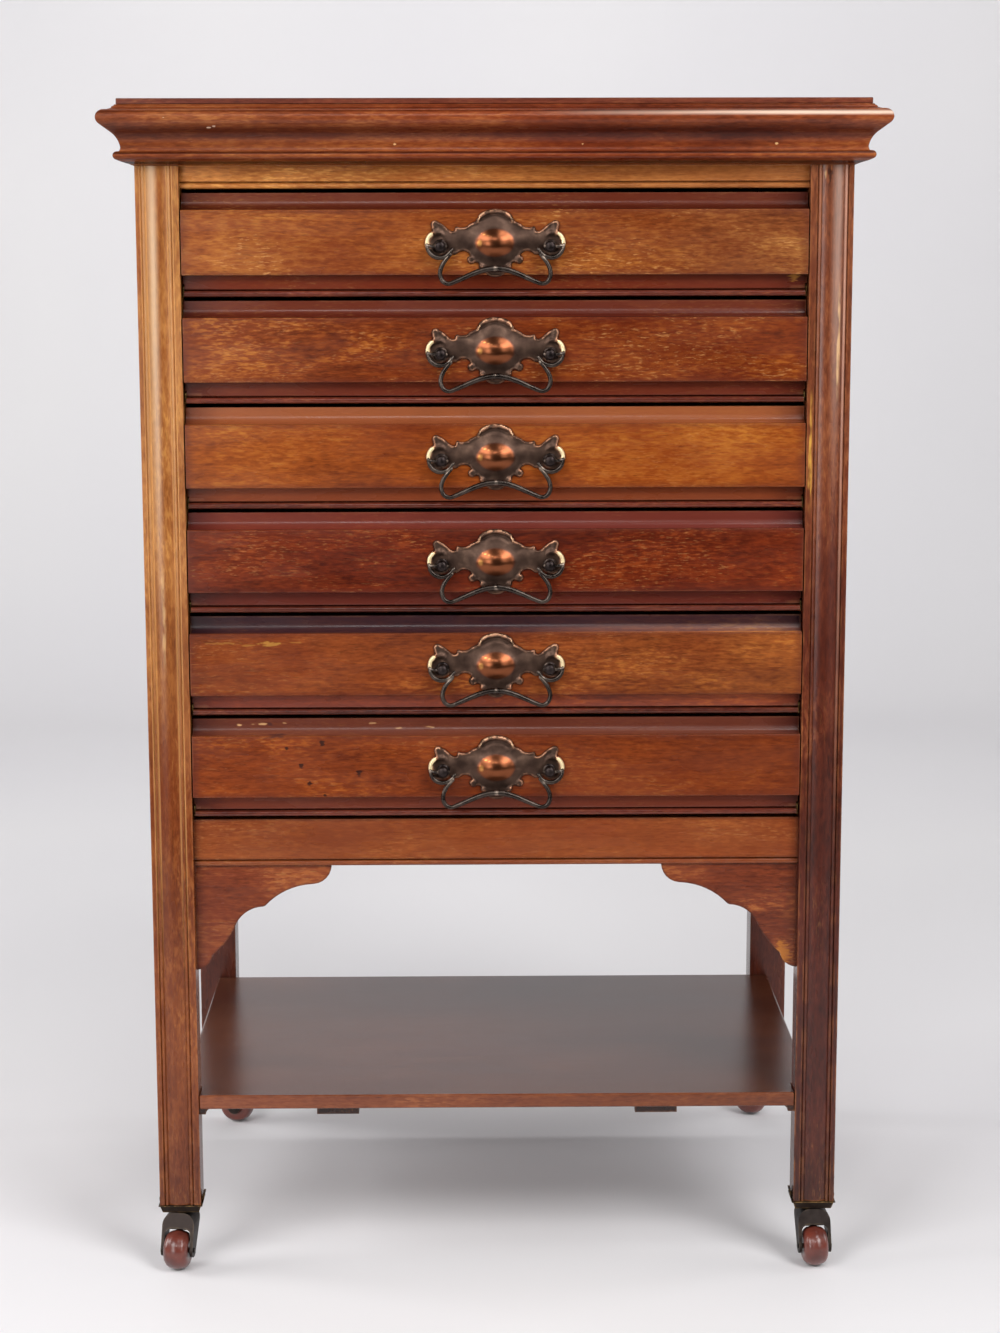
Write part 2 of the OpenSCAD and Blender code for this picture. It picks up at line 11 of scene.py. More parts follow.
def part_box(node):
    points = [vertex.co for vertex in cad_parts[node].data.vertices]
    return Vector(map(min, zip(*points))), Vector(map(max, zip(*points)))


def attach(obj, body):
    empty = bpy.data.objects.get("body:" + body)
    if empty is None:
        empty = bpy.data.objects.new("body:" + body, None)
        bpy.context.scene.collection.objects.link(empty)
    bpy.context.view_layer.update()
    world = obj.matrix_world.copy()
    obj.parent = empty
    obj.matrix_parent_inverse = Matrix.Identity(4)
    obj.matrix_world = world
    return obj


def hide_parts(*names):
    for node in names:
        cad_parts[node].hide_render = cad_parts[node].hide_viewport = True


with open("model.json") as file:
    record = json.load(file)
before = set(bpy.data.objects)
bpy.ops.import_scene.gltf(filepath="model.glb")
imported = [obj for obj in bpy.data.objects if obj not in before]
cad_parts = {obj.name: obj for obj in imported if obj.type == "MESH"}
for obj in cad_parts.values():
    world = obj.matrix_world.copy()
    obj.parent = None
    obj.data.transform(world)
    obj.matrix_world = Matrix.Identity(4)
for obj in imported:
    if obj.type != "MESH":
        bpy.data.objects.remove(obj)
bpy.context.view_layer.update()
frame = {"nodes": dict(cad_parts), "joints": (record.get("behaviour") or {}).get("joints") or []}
cad = frame["nodes"]
collection = bpy.context.scene.collection

MM = 0.001
DRAWERS = range(1, 7)
CASTORS = {1: "front_left", 2: "front_right", 3: "back_left", 4: "back_right"}

# For a grain along each axis, 1 in the directions across it and 0 along it
ACROSS = {"x": (0, 1, 1), "y": (1, 0, 1), "z": (1, 1, 0)}

# Places that the finishes follow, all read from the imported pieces
field_low, field_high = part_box("fall_front_1")
leg_low, leg_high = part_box("leg_front_right")
cornice_low, cornice_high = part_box("cornice_moulding")
rail_foot_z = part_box("lower_rail")[0].z

# Depths below the top of a drawer's front. The painted light and shade on the ledge over the field
# fades in and ends, the strip under the field fades in, and the handle's middle lies between them
LEDGE_LIGHT_FADE = (6 * MM, 11 * MM)
LEDGE_LIGHT_END = (14 * MM, 13 * MM)
STRIP_FADE = (59 * MM, 61 * MM)
HANDLE_DEPTH = 36.15 * MM


def leg_mid_x(side):
    """Middle of the left (-1) or right (1) front leg"""
    return side * (leg_low.x + leg_high.x) / 2


def srgb(red, green, blue):
    """A colour given as it looks on screen, 0 to 255, in the shader's linear values"""
    def linear(c):
        c /= 255
        return c / 12.92 if c <= 0.04045 else ((c + 0.055) / 1.055) ** 2.4
    return (linear(red), linear(green), linear(blue), 1.0)


def palette(dark, mid, light):
    """The three tones that a wood's figure runs through"""
    return dict(dark=srgb(*dark), mid=srgb(*mid), light=srgb(*light))


class Finish:
    """A material that is built up from nodes and ends in one surface shader"""

    def __init__(self, name):
        self.material = bpy.data.materials.new(name)
        self.material.use_nodes = True
        self.tree = self.material.node_tree
        self.tree.nodes.clear()
        self.shader = self.node("BsdfPrincipled")
        surface = self.node("OutputMaterial")
        self.tree.links.new(self.shader.outputs[0], surface.inputs["Surface"])
        self.place = self.node("TexCoord").outputs["Object"]

    def node(self, kind, inputs=None, **settings):
        """A node with its settings made and its inputs linked or filled in"""
        made = self.tree.nodes.new("ShaderNode" + kind)
        for name, value in settings.items():
            setattr(made, name, value)
        for key, value in (inputs or {}).items():
            self.put(made.inputs[key], value)
        return made

    def put(self, socket, value):
        if isinstance(value, bpy.types.NodeSocket):
            self.tree.links.new(value, socket)
        else:
            socket.default_value = value

    def maths(self, operation, a, b=0.0):
        return self.node("Math", {0: a, 1: b}, operation=operation).outputs[0]

    def product(self, *values):
        """All the values multiplied together"""
        result = values[0]
        for value in values[1:]:
            result = self.maths("MULTIPLY", result, value)
        return result

    def span(self, value, low, high, to_low=0.0, to_high=1.0):
        """Value brought from low..high to another range, eased at both ends"""
        made = self.node(
            "MapRange",
            {"Value": value, "From Min": low, "From Max": high,
             "To Min": to_low, "To Max": to_high},
            interpolation_type="SMOOTHSTEP",
        )
        return made.outputs["Result"]

    def blend(self, share, under, over, how="MIX"):
        """Two colours mixed by share"""
        made = self.node("Mix", data_type="RGBA", blend_type=how)
        self.put(made.inputs[0], share)
        self.put(made.inputs[6], under)
        self.put(made.inputs[7], over)
        return made.outputs[2]

    def tones(self, value, stops):
        """A colour scale, as (place, colour) pairs"""
        made = self.node("ValToRGB", {"Fac": value})
        ramp = made.color_ramp
        while len(ramp.elements) < len(stops):
            ramp.elements.new(0.5)
        for element, (place, colour) in zip(ramp.elements, stops):
            element.position = place
            element.color = colour
        return made.outputs["Color"]

    def noise(self, vector, scale=1.0, detail=2.0, rough=0.5):
        made = self.node(
            "TexNoise",
            {"Vector": vector, "Scale": scale, "Detail": detail, "Roughness": rough},
        )
        return made.outputs["Fac"]

    def mapped(self, vector, scale, shift):
        made = self.node("Mapping", {"Vector": vector, "Scale": scale, "Location": shift})
        return made.outputs["Vector"]

    def axis(self, which):
        return self.node("SeparateXYZ", {"Vector": self.place}).outputs[which]

    def away(self, which, centre):
        """How far a point lies from a place on one axis, either way"""
        return self.maths("ABSOLUTE", self.maths("SUBTRACT", self.axis(which), centre))

    def edges(self, reach):
        """1 at an outer edge, falling to 0 within reach of it"""
        shade = self.node("AmbientOcclusion", {"Distance": reach}, samples=4, inside=True)
        return self.span(shade.outputs["AO"], 0.93, 0.55)

    def corners(self, reach):
        """1 deep in an inner corner or joint, falling to 0 on open surfaces"""
        shade = self.node("AmbientOcclusion", {"Distance": reach}, samples=4)
        return self.span(shade.outputs["AO"], 0.85, 0.25)

    def relief(self, *layers):
        """Bump from (height, strength, depth) layers, each on top of the last"""
        normal = None
        for height, strength, depth in layers:
            made = self.node("Bump", {"Height": height, "Strength": strength, "Distance": depth})
            if normal:
                self.put(made.inputs["Normal"], normal)
            normal = made.outputs["Normal"]
        self.put(self.shader.inputs["Normal"], normal)

    def surface(self, **sockets):
        """The finished material, with the shader's sockets set by name, such as base_color"""
        for name, value in sockets.items():
            title = name.replace("_", " ").title().replace("Ior", "IOR")
            self.put(self.shader.inputs[title], value)
        return self.material


# Wood


class Wood(Finish):
    """Wood whose grain runs along one axis and sways a little"""

    def __init__(self, name, grain, shift):
        super().__init__(name)
        self.across = ACROSS[grain]
        self.shift = (shift * 1.37, shift * 0.71, shift * 2.13)
        drift = self.node("TexNoise", {"Vector": self.stretched(2.2, 9), "Scale": 1.0, "Detail": 1.0})
        wander = self.node("VectorMath", {0: drift.outputs["Color"], 1: (0.5, 0.5, 0.5)},
                           operation="SUBTRACT")
        sway = [0.012 * side for side in self.across]
        bent = self.node("VectorMath", {0: wander.outputs[0], 1: sway}, operation="MULTIPLY")
        moved = self.node("VectorMath", {0: self.place, 1: bent.outputs[0]}, operation="ADD")
        self.place_in_grain = moved.outputs[0]

    def stretched(self, along, across, vector=None, shift=0.0):
        """Coordinates drawn out along the grain, in repeats to the metre"""
        scale = [across if side else along for side in self.across]
        offset = [s * 10 + shift for s in self.shift]
        return self.mapped(vector or self.place, scale, offset)

    def fibres(self, along, across, detail=2.0, shift=0.0, rough=0.55):
        return self.noise(self.stretched(along, across, self.place_in_grain, shift),
                          detail=detail, rough=rough)


class Mahogany(Wood):
    """French polished mahogany. Each method lays its layers over the colour so far"""

    def __init__(self, name, grain, shift, dark, mid, light, figure):
        super().__init__(name, grain, shift)
        self.patches = self.fibres(11, 30, detail=3, shift=11)
        self.cloud = self.fibres(48, 150, detail=3, shift=17, rough=0.6)
        self.lines = self.fibres(9, 330, detail=3, shift=3)
        self.roe = self.fibres(115, 430, detail=2, shift=13, rough=0.6)
        self.fine = self.fibres(150, 900, detail=2, shift=7)
        self.pores = self.span(self.fibres(120, 1500, detail=1, shift=19), 0.6, 0.72)
        self.grow(dark, mid, light, figure)

    def lay(self, share, tone, how="MIX"):
        self.colour = self.blend(share, self.colour, tone, how)

    def tint(self, share, factors):
        """Red, green and blue multiplied by their factors where share is 1"""
        self.lay(share, [*factors, 1], "MULTIPLY")

    def grow(self, dark, mid, light, figure):
        """The wood's own colour: figure and fibres, golden roe, reddish patches, dark pores"""
        level = self.product(self.span(self.fibres(2.2, 9, detail=2), 0.25, 0.75), 0.22)
        for layer, share in ((self.patches, 0.27 * figure), (self.cloud, 0.1 * figure),
                             (self.lines, 0.1), (self.roe, 0.18 * figure), (self.fine, 0.11)):
            level = self.maths("ADD", level, self.product(self.span(layer, 0.3, 0.7), share))
        self.colour = self.tones(level, [(0.16, dark), (0.48, mid), (0.86, light)])

        warmth = self.span(self.fibres(6, 17, detail=2, shift=23), 0.4, 0.64)
        golden = self.product(self.span(self.roe, 0.48, 0.66),
                              self.span(self.patches, 0.42, 0.62, 0.1, 1.0),
                              self.product(warmth, 0.55 * figure))
        self.lay(golden, [light[0] * 1.25, light[1] * 1.45, light[2] * 1.3, 1])
        flush = self.span(self.fibres(7, 15, detail=3, shift=37), 0.52, 0.7)
        self.lay(self.product(flush, 0.42 * figure), [dark[0] * 1.5, dark[1], dark[2], 1])
        self.lay(self.product(self.pores, 0.35), [c * 0.35 for c in dark[:3]] + [1])

    def shade(self, shades, shading_bands):
        """Tints that come in along an axis, and bands of painted light and shade about a height"""
        for axis, start, end, factors in shades:
            self.tint(self.span(self.axis(axis), start, end), factors)
        for z, half, factors in shading_bands:
            self.tint(self.span(self.away("Z", z), half, half * 0.3), factors)

    def darken_rim(self, tone, reach, with_ends):
        """Polish gone dark along a piece's edges, and at both ends of a drawer's front"""
        border = self.edges(reach)
        if with_ends:
            ends = self.span(self.away("X", 0), field_high.x - 9 * MM, field_high.x)
            border = self.maths("MAXIMUM", border, self.product(ends, 0.7))
        self.lay(self.product(border, self.span(self.cloud, 0.3, 0.7, 0.45, 0.9)), tone)

    def recess(self, tone, ledge_light, ledge_light_start, strip, top):
        """What lies behind a drawer's field is toned, partly as its own wood and partly with a
        painted reflection, and darkened with painted shade near both ends. The strip under the field
        is tinted, and the ledge over it gets painted light and shade, from ledge_light_start along X.
        Gives 1 behind the field, 0 on it"""
        height = self.axis("Z")

        def at_depth(start, end):
            return self.span(height, top - start, top - end)

        behind = self.span(self.axis("Y"), field_low.y + 0.4 * MM, field_low.y + 5 * MM)
        # Behind the field: the wood's darker tone with a painted reflection in it
        self.lay(self.product(behind, 0.85), tone)
        # Painted shade on the recess near both ends
        sides = self.span(self.away("X", 0), field_high.x - 34 * MM, field_high.x)
        self.tint(self.product(behind, sides), (0.5, 0.44, 0.5))
        self.tint(self.product(behind, at_depth(*STRIP_FADE)), strip)
        # Painted light and shade on the ledge over the field
        ledge_lit = self.product(at_depth(*LEDGE_LIGHT_FADE), at_depth(*LEDGE_LIGHT_END),
                                self.span(self.axis("X"), ledge_light_start, ledge_light_start + 0.2))
        self.tint(self.product(ledge_lit, self.span(behind, 0, 0.3)), ledge_light)
        return behind

    def rub(self, flecks, wear, behind):
        """Pale flecks, fewer behind a drawer's field, and arrises worn to the wood"""
        rubbed = self.span(self.fibres(150, 820, detail=2, shift=29, rough=0.65), 0.56, 0.7)
        if behind:
            rubbed = self.product(rubbed, self.span(behind, 0, 1, 1.0, 0.25))
        zone = self.span(self.patches, 0.44, 0.6, 0.08, 1.0)
        self.lay(self.product(rubbed, self.product(zone, flecks)), srgb(205, 145, 84))

        chance = self.noise(self.place, scale=55, detail=3)
        self.arris = self.product(self.edges(1.6 * MM), self.span(chance, 0.4, 0.64, 0.1, 1.0))
        if wear:
            self.lay(self.product(self.arris, wear), srgb(186, 116, 62))

    def spot(self, marks):
        for x, z, wide, high, tone, amount in marks:
            centred = self.mapped(self.place, (2 / wide, 0, 2 / high),
                                  (-2 * x / wide, 0, -2 * z / high))
            far = self.node("VectorMath", {0: centred}, operation="LENGTH").outputs["Value"]
            ragged = self.maths("ADD", far, self.span(self.roe, 0.3, 0.7, -0.5, 0.5))
            self.lay(self.span(ragged, 1.15, 0.6, 0, amount), tone)

    def streak(self, streaks):
        for x, width, low, high, tone, amount in streaks:
            height = self.axis("Z")
            offset = self.maths("SUBTRACT", self.axis("X"), x)
            ragged = self.product(self.maths("SUBTRACT", self.fibres(26, 500, shift=41), 0.5), width)
            off = self.maths("ABSOLUTE", self.maths("ADD", offset, ragged))
            fade = (high - low) * 0.25
            line = self.product(self.span(off, width / 2, width / 6),
                                self.span(height, low, low + fade),
                                self.span(height, high, high - fade))
            broken = self.span(self.fibres(38, 160, detail=3, shift=x * 90), 0.4, 0.6)
            self.lay(self.product(line, self.product(broken, amount)), tone)

    # Painted highlights: smooth pale lines laid into the colour along rounds, beads and grooves
    def paint_highlights(self, painted_highlights):
        for across, centre, width, along, start, end, tone, amount in painted_highlights:
            line = self.product(self.span(self.away(across, centre), width / 2, 0),
                                self.span(self.axis(along), start, end),
                                self.span(self.lines, 0.35, 0.6, 0.8, 1.0))
            self.lay(self.product(line, amount), tone)

    def polished(self, gloss, smear, level):
        """The polish over the colour, smeared along the grain and duller on worn arrises"""
        smears = self.fibres(10, 42, detail=3, shift=43, rough=0.6)
        shine = self.maths("ADD", self.span(smears, 0.3, 0.7, gloss - smear, gloss + 2 * smear),
                           self.product(self.arris, 0.08))
        self.relief(
            (smears, smear, 1.6 * MM),
            (self.cloud, 0.03, 0.5 * MM),
            (self.maths("SUBTRACT", self.fine, self.pores), 0.1, 0.1 * MM),
        )
        return self.surface(base_color=self.colour, roughness=shine, specular_ior_level=level)


def mahogany(name, grain, shift, dark, mid, light, figure=1.0, flecks=0.25, wear=0.35, gloss=0.25,
             grime_and_shade=0.5, smear=0.03, polish=0.4, recess=None, rim=None, rim_reach=5 * MM,
             shades=(), shading_bands=(), marks=(), streaks=(), painted_highlights=()):
    """The mahogany of one piece. rim is the tone that it darkens to within rim_reach of its edges,
    and recess holds what Mahogany.recess is given. The lists hold these values:
    shades: axis, from, to, factors of red, green and blue
    shading_bands, painted light and shade about a height: height, half its width, factors
    marks, small ragged spots: x, z, width, height, colour, amount
    streaks, broken lines along a leg: x, width, from, to, colour, amount
    painted_highlights, smooth pale lines of painted highlight: axis across, place on it, width, axis
    along, from, to, colour, amount
    """
    wood = Mahogany(name, grain, shift, dark, mid, light, figure)
    wood.shade(shades, shading_bands)
    if rim:
        wood.darken_rim(rim, rim_reach, with_ends=bool(recess))
    behind = wood.recess(**recess) if recess else None
    wood.rub(flecks, wear, behind)
    wood.spot(marks)
    wood.streak(streaks)
    wood.paint_highlights(painted_highlights)
    # Grime and painted shade: darker deep in inner corners and joints
    wood.lay(wood.product(wood.corners(6 * MM), grime_and_shade), srgb(42, 17, 11))
    return wood.polished(gloss, smear, polish)


def bare_wood(name, grain, shift):
    """Unpolished drawer stock, pale brown, with dust and painted shade in its corners"""
    wood = Wood(name, grain, shift)
    broad = wood.fibres(2.4, 20)
    lines = wood.fibres(6, 300, detail=3, shift=3)
    level = wood.maths("ADD", wood.product(broad, 0.5), wood.product(lines, 0.5))
    colour = wood.tones(level, [(0.25, srgb(120, 82, 48)), (0.55, srgb(164, 122, 78)),
                                (0.8, srgb(190, 152, 104))])
    pores = wood.span(wood.fibres(80, 1900, detail=1, shift=19), 0.57, 0.7)
    colour = wood.blend(wood.product(pores, 0.4), colour, srgb(78, 50, 28))
    stains = wood.span(wood.noise(wood.place, scale=19, detail=4, rough=0.6), 0.52, 0.75)
    colour = wood.blend(wood.product(stains, 0.35), colour, srgb(96, 66, 42))
    # Dust and painted shade, darker in inner corners
    colour = wood.blend(wood.product(wood.corners(14 * MM), 0.6), colour, srgb(60, 42, 28))
    colour = wood.blend(wood.product(wood.edges(1.8 * MM), 0.25), colour, srgb(205, 172, 126))
    wood.relief((lines, 0.25, 0.4 * MM), (pores, 0.35, -0.2 * MM))
    return wood.surface(base_color=colour, roughness=wood.span(stains, 0, 1, 0.7, 0.58))


# Metal and glaze


def pressed_copper():
    """Copper with a dark patina. The rub attribute says where it is rubbed bright and where
    highlights are painted, and the rolled attribute where its rolled rim and raised beads are worn
    pale and given painted highlights"""
    metal = Finish("pressed_copper")
    rub = metal.node("Attribute", attribute_name="rub").outputs["Fac"]
    rolled = metal.node("Attribute", attribute_name="rolled").outputs["Fac"]
    cloud = metal.noise(metal.place, scale=110, detail=3)
    speck = metal.noise(metal.place, scale=1500, detail=2)
    patina = metal.tones(cloud, [(0.3, srgb(66, 50, 43)), (0.55, srgb(88, 68, 58)),
                                 (0.75, srgb(112, 88, 74))])
    bright = metal.tones(rub, [(0.3, srgb(88, 56, 46)), (0.6, srgb(128, 74, 48)),
                               (0.8, srgb(222, 158, 88)), (1.0, srgb(255, 236, 184))])
    bare = metal.maths("ADD", rub, metal.span(cloud, 0.3, 0.7, -0.05, 0.05))
    bare = metal.span(bare, 0.14, 0.6)
    colour = metal.blend(bare, patina, bright)
    chance = metal.noise(metal.place, scale=230, detail=2)
    # Worn pale and painted highlights along the rim, as the rolled attribute holds them
    worn = metal.product(rolled, metal.span(chance, 0.42, 0.58, 0.1, 1.0))
    worn = metal.maths("MAXIMUM", worn, metal.span(rolled, 0.85, 1.0))
    pale = metal.tones(rolled, [(0.6, srgb(255, 184, 142)), (0.95, srgb(255, 230, 180))])
    colour = metal.blend(worn, colour, pale)
    colour = metal.blend(metal.product(metal.corners(3 * MM), 0.4), colour, srgb(30, 20, 16))
    metal.relief((cloud, 0.05, 0.5 * MM), (speck, 0.08, 0.05 * MM))
    rough = metal.maths("ADD", metal.span(bare, 0, 1, 0.44, 0.26), metal.product(speck, 0.06))
    return metal.surface(base_color=colour, metallic=metal.span(worn, 0, 1, 1.0, 0.35),
                         roughness=rough)


def dark_bronze(name, tone, rubbed_tone, rough=0.34):
    """Cast metal darkened all over and rubbed on its high edges"""
    metal = Finish(name)
    cloud = metal.noise(metal.place, scale=120, detail=4, rough=0.65)
    speck = metal.noise(metal.place, scale=1300, detail=2)
    colour = metal.tones(cloud, [(0.3, [c * 0.6 for c in tone[:3]] + [1]), (0.7, tone)])
    rubbed = metal.product(metal.edges(1.4 * MM), metal.span(cloud, 0.4, 0.65))
    colour = metal.blend(metal.product(rubbed, 0.7), colour, rubbed_tone)
    colour = metal.blend(metal.product(metal.corners(6 * MM), 0.6), colour, srgb(14, 11, 10))
    metal.relief((cloud, 0.12, 0.4 * MM), (speck, 0.2, 0.06 * MM))
    return metal.surface(base_color=colour, metallic=1.0,
                         roughness=metal.span(cloud, 0.3, 0.7, rough, rough + 0.14))


def brown_glaze():
    """Glossy red-brown glaze of the wheels, specked with dust, with painted shade in its corners"""
    glaze = Finish("brown_glaze")
    cloud = glaze.noise(glaze.place, scale=70, detail=2)
    speck = glaze.noise(glaze.place, scale=700, detail=3, rough=0.7)
    colour = glaze.tones(cloud, [(0.3, srgb(80, 34, 27)), (0.7, srgb(116, 52, 38))])
    dust = glaze.span(speck, 0.6, 0.78)
    colour = glaze.blend(glaze.product(dust, 0.25), colour, srgb(150, 118, 100))
    # Painted shade in the corners
    colour = glaze.blend(glaze.product(glaze.corners(5 * MM), 0.6), colour, srgb(24, 11, 9))
    glaze.relief((speck, 0.05, 0.05 * MM))
    return glaze.surface(base_color=colour, coat_weight=0.5, coat_roughness=0.16,
                         roughness=glaze.span(speck, 0.4, 0.8, 0.3, 0.45))


# Meshes


def mesh_from(bm, name):
    """The finished mesh, shaded smooth"""
    for face in bm.faces:
        face.smooth = True
    mesh = bpy.data.meshes.new(name)
    bm.to_mesh(mesh)
    bm.free()
    return mesh


def verts_of(geom):
    """The vertices among what an operator made"""
    return [g for g in geom if isinstance(g, bmesh.types.BMVert)]


# Woodwork


def soften(node, material, body="case", arris=0.7 * MM, steps=3):
    """A merged copy of a CAD piece with its sharp arrises rounded over"""
    bm = bmesh.new()
    bm.from_mesh(cad[node].data)
    bmesh.ops.remove_doubles(bm, verts=bm.verts, dist=0.01 * MM)
    bmesh.ops.dissolve_limit(bm, angle_limit=math.radians(0.4), verts=bm.verts, edges=bm.edges)
    sharp = [e for e in bm.edges if e.is_manifold and e.calc_face_angle() > math.radians(42)]
    bmesh.ops.bevel(bm, geom=sharp, offset=arris, offset_type="OFFSET", segments=steps,
                    profile=0.5, affect="EDGES", clamp_overlap=True, material=-1)
    bmesh.ops.recalc_face_normals(bm, faces=bm.faces)
    for face in bm.faces:
        face.material_index = 0
    mesh = mesh_from(bm, node + "_softened")
    mesh.materials.append(material)
    piece = bpy.data.objects.new(node + "_wood", mesh)
    collection.objects.link(piece)
    weights = piece.modifiers.new("flat_faces", "WEIGHTED_NORMAL")
    weights.weight = 80
    weights.keep_sharp = True
    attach(piece, body)
    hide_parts(node)


def paint(node, material):
    """A CAD piece that keeps its shape and gets a finish"""
    mesh = cad[node].data
    for index in range(len(mesh.materials)):
        mesh.materials[index] = material


# Handles, each made round the middle of its plate with z = 0 on the drawer's face

# Where the right post stands, how far out the bail's pins lie, and how fine the plate's mesh is
POST = Vector((40.6, -3.0)) * MM
BAIL_OUT = 7 * MM
PLATE_STEP = 0.75 * MM

# Centres of the plate's arch, round lobe, leaf and bud, in millimetres from its middle
ARCH = (0, 5.3)
LOBE = (42.4, -0.6)
LEAF = (17.6, -12.6)
BUD = (10.2, -17.6)


def handle_place(k):
    """From a handle's own plane to its place on a drawer's face"""
    low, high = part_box("fall_front_%d" % k)
    middle = (0, low.y, high.z - HANDLE_DEPTH)
    return Matrix.Translation(middle) @ Matrix.Rotation(math.radians(90), 4, "X")


def arc(cx, cz, radius, start, end, steps):
    """Points along an arc, from one angle to another in degrees"""
    turn = [math.radians(start + (end - start) * i / steps) for i in range(steps + 1)]
    return [(cx + radius * math.cos(a), cz + radius * math.sin(a)) for a in turn]


def plate_outline():
    """Outline of the pressed plate in millimetres, anticlockwise from its bottom tip"""
    half = (
        [(0, -25.6)]
        + arc(0, -15.4, 10.2, 284, 336, 6)
        + arc(*BUD, 1.9, 270, 395, 5)
        + [(13.2, -14.6)]
        + arc(*LEAF, 3.2, 225, 390, 8)
        + [(18.6, -9.9), (19.2, -8.2), (21.2, -6.8), (23.8, -6.3), (26.6, -7), (29.2, -9)]
        + [(32.4, -9)]
        + arc(*LOBE, 9.6, 225, 426, 22)
        + [(46.6, 9.2)]
        + arc(44.4, 12.8, 3.1, -35, 140, 8)
        + [(39.4, 13.4), (37, 11.4), (34.4, 9), (32, 7.9), (30.2, 8.2)]
        + arc(28.4, 10.2, 1.2, 0, 120, 4)
        + [(26.2, 10.6), (22.6, 10.8), (20.2, 11.9), (19.2, 13), (15.8, 14.6), (13.6, 15.4)]
        + arc(12.6, 16.4, 1.2, -60, 60, 4)
        + arc(9.3, 18.1, 3.2, -10, 54, 6)
        + arc(*ARCH, 19, 54, 90, 10)
    )
    return half + [(-x, z) for x, z in reversed(half) if x > 0.01]


def mound(x, z, cx, cz, wide, high):
    """1 at a boss's middle and 0 at the edge of its oval"""
    return max(1 - ((x - cx) / wide) ** 2 - ((z - cz) / high) ** 2, 0.0)


def ease(value, low, high):
    """0 below low and 1 above high, smooth between them"""
    share = min(max((value - low) / (high - low), 0.0), 1.0)
    return share * share * (3 - 2 * share)


def pressed(x, z, rim):
    """Height of the pressed sheet in millimetres, how bright it is rubbed and painted with
    highlights, and how pale its raised lines are worn and painted with highlights. rim is the
    distance to the outline"""
    side = abs(x)

    # The middle: dome and swell, arms to both sides, and the arch with its hollow
    far = math.hypot(x / 17.4, (z + 0.5) / 12.8)
    dome = math.exp(-(far / 0.74) ** 2.6)
    swell = mound(x, z, 0, -1.2, 25, 16)
    arm = mound(side, z, 27, 1.4, 15, 8.2)
    from_arch = math.dist((x, z), ARCH)
    over = ease(z, 12.5, 15.5)
    arch = math.exp(-((from_arch - 16.9) / 1.1) ** 2) * over
    hollow = math.exp(-((from_arch - 13.6) / 2.0) ** 2) * over

    # The sides: round lobes with their rims, spurs over them, and leaves under the arms
    lobe_reach = math.dist((side, z), LOBE)
    lobe_rim = math.exp(-((lobe_reach - 7.6) / 1.9) ** 2) * ease(side, 36, 41)
    leaf_far = min(math.dist((side, z), LEAF) / 3.2, math.dist((side, z), BUD) / 2.6)
    leaf = max(1 - leaf_far ** 2, 0)
    spur = mound(side, z, 44.4, 12.4, 2.8, 5.4)

    # The rim, rolled over all round
    rolled = math.exp(-((rim - 0.8) / 0.6) ** 2)
    lip = 0.6 * rolled - 0.6 * max(0.0, 1 - rim / 0.5)
    height = 1.2 + 5.2 * dome + 1.1 * swell + 1.4 * arm * (1 - dome) + 1.7 * arch - 0.9 * hollow
    height += 1.6 * lobe_rim + 0.9 * spur + 1.3 * leaf + lip

    # Rubbed bright on the dome, with painted highlights on its left flank, along a slanting line over
    # it and on the lobes' outer sides
    crescent = math.exp(-((lobe_reach - 8.6) / 2.6) ** 4) * ease(side, 43, 47) * ease(z, -6, -1)
    crescent *= 1 - ease(z, 6, 9)
    flank_highlight = math.exp(-((x + 11.5) / 4.2) ** 2 - ((z + 0.8) / 5.6) ** 2)
    along = min(max((x + 10) / 13, 0), 1)
    glint = math.exp(-(math.hypot(x + 10 - 13 * along, z - 6.2 + 3.6 * along) / 0.7) ** 2)
    glint *= 1 - 0.3 * along
    rub = max(0.6 * ease(dome, 0.06, 0.42), 0.78 * flank_highlight, 0.78 * glint, 0.95 * crescent)

    # Worn pale, with painted highlights: the rolled rim, brighter towards the top and most of all on
    # the arch, the raised lines, and the lobes' crescents
    worn = rolled * (0.15 + 0.35 * ease(z, -13, 6)) + 0.45 * rolled * over + 0.6 * leaf * rolled
    worn = max(worn, 0.25 * arch, 1.3 * crescent, 0.84 * spur * rolled)
    return height, min(rub, 1.0), min(worn, 1.0)


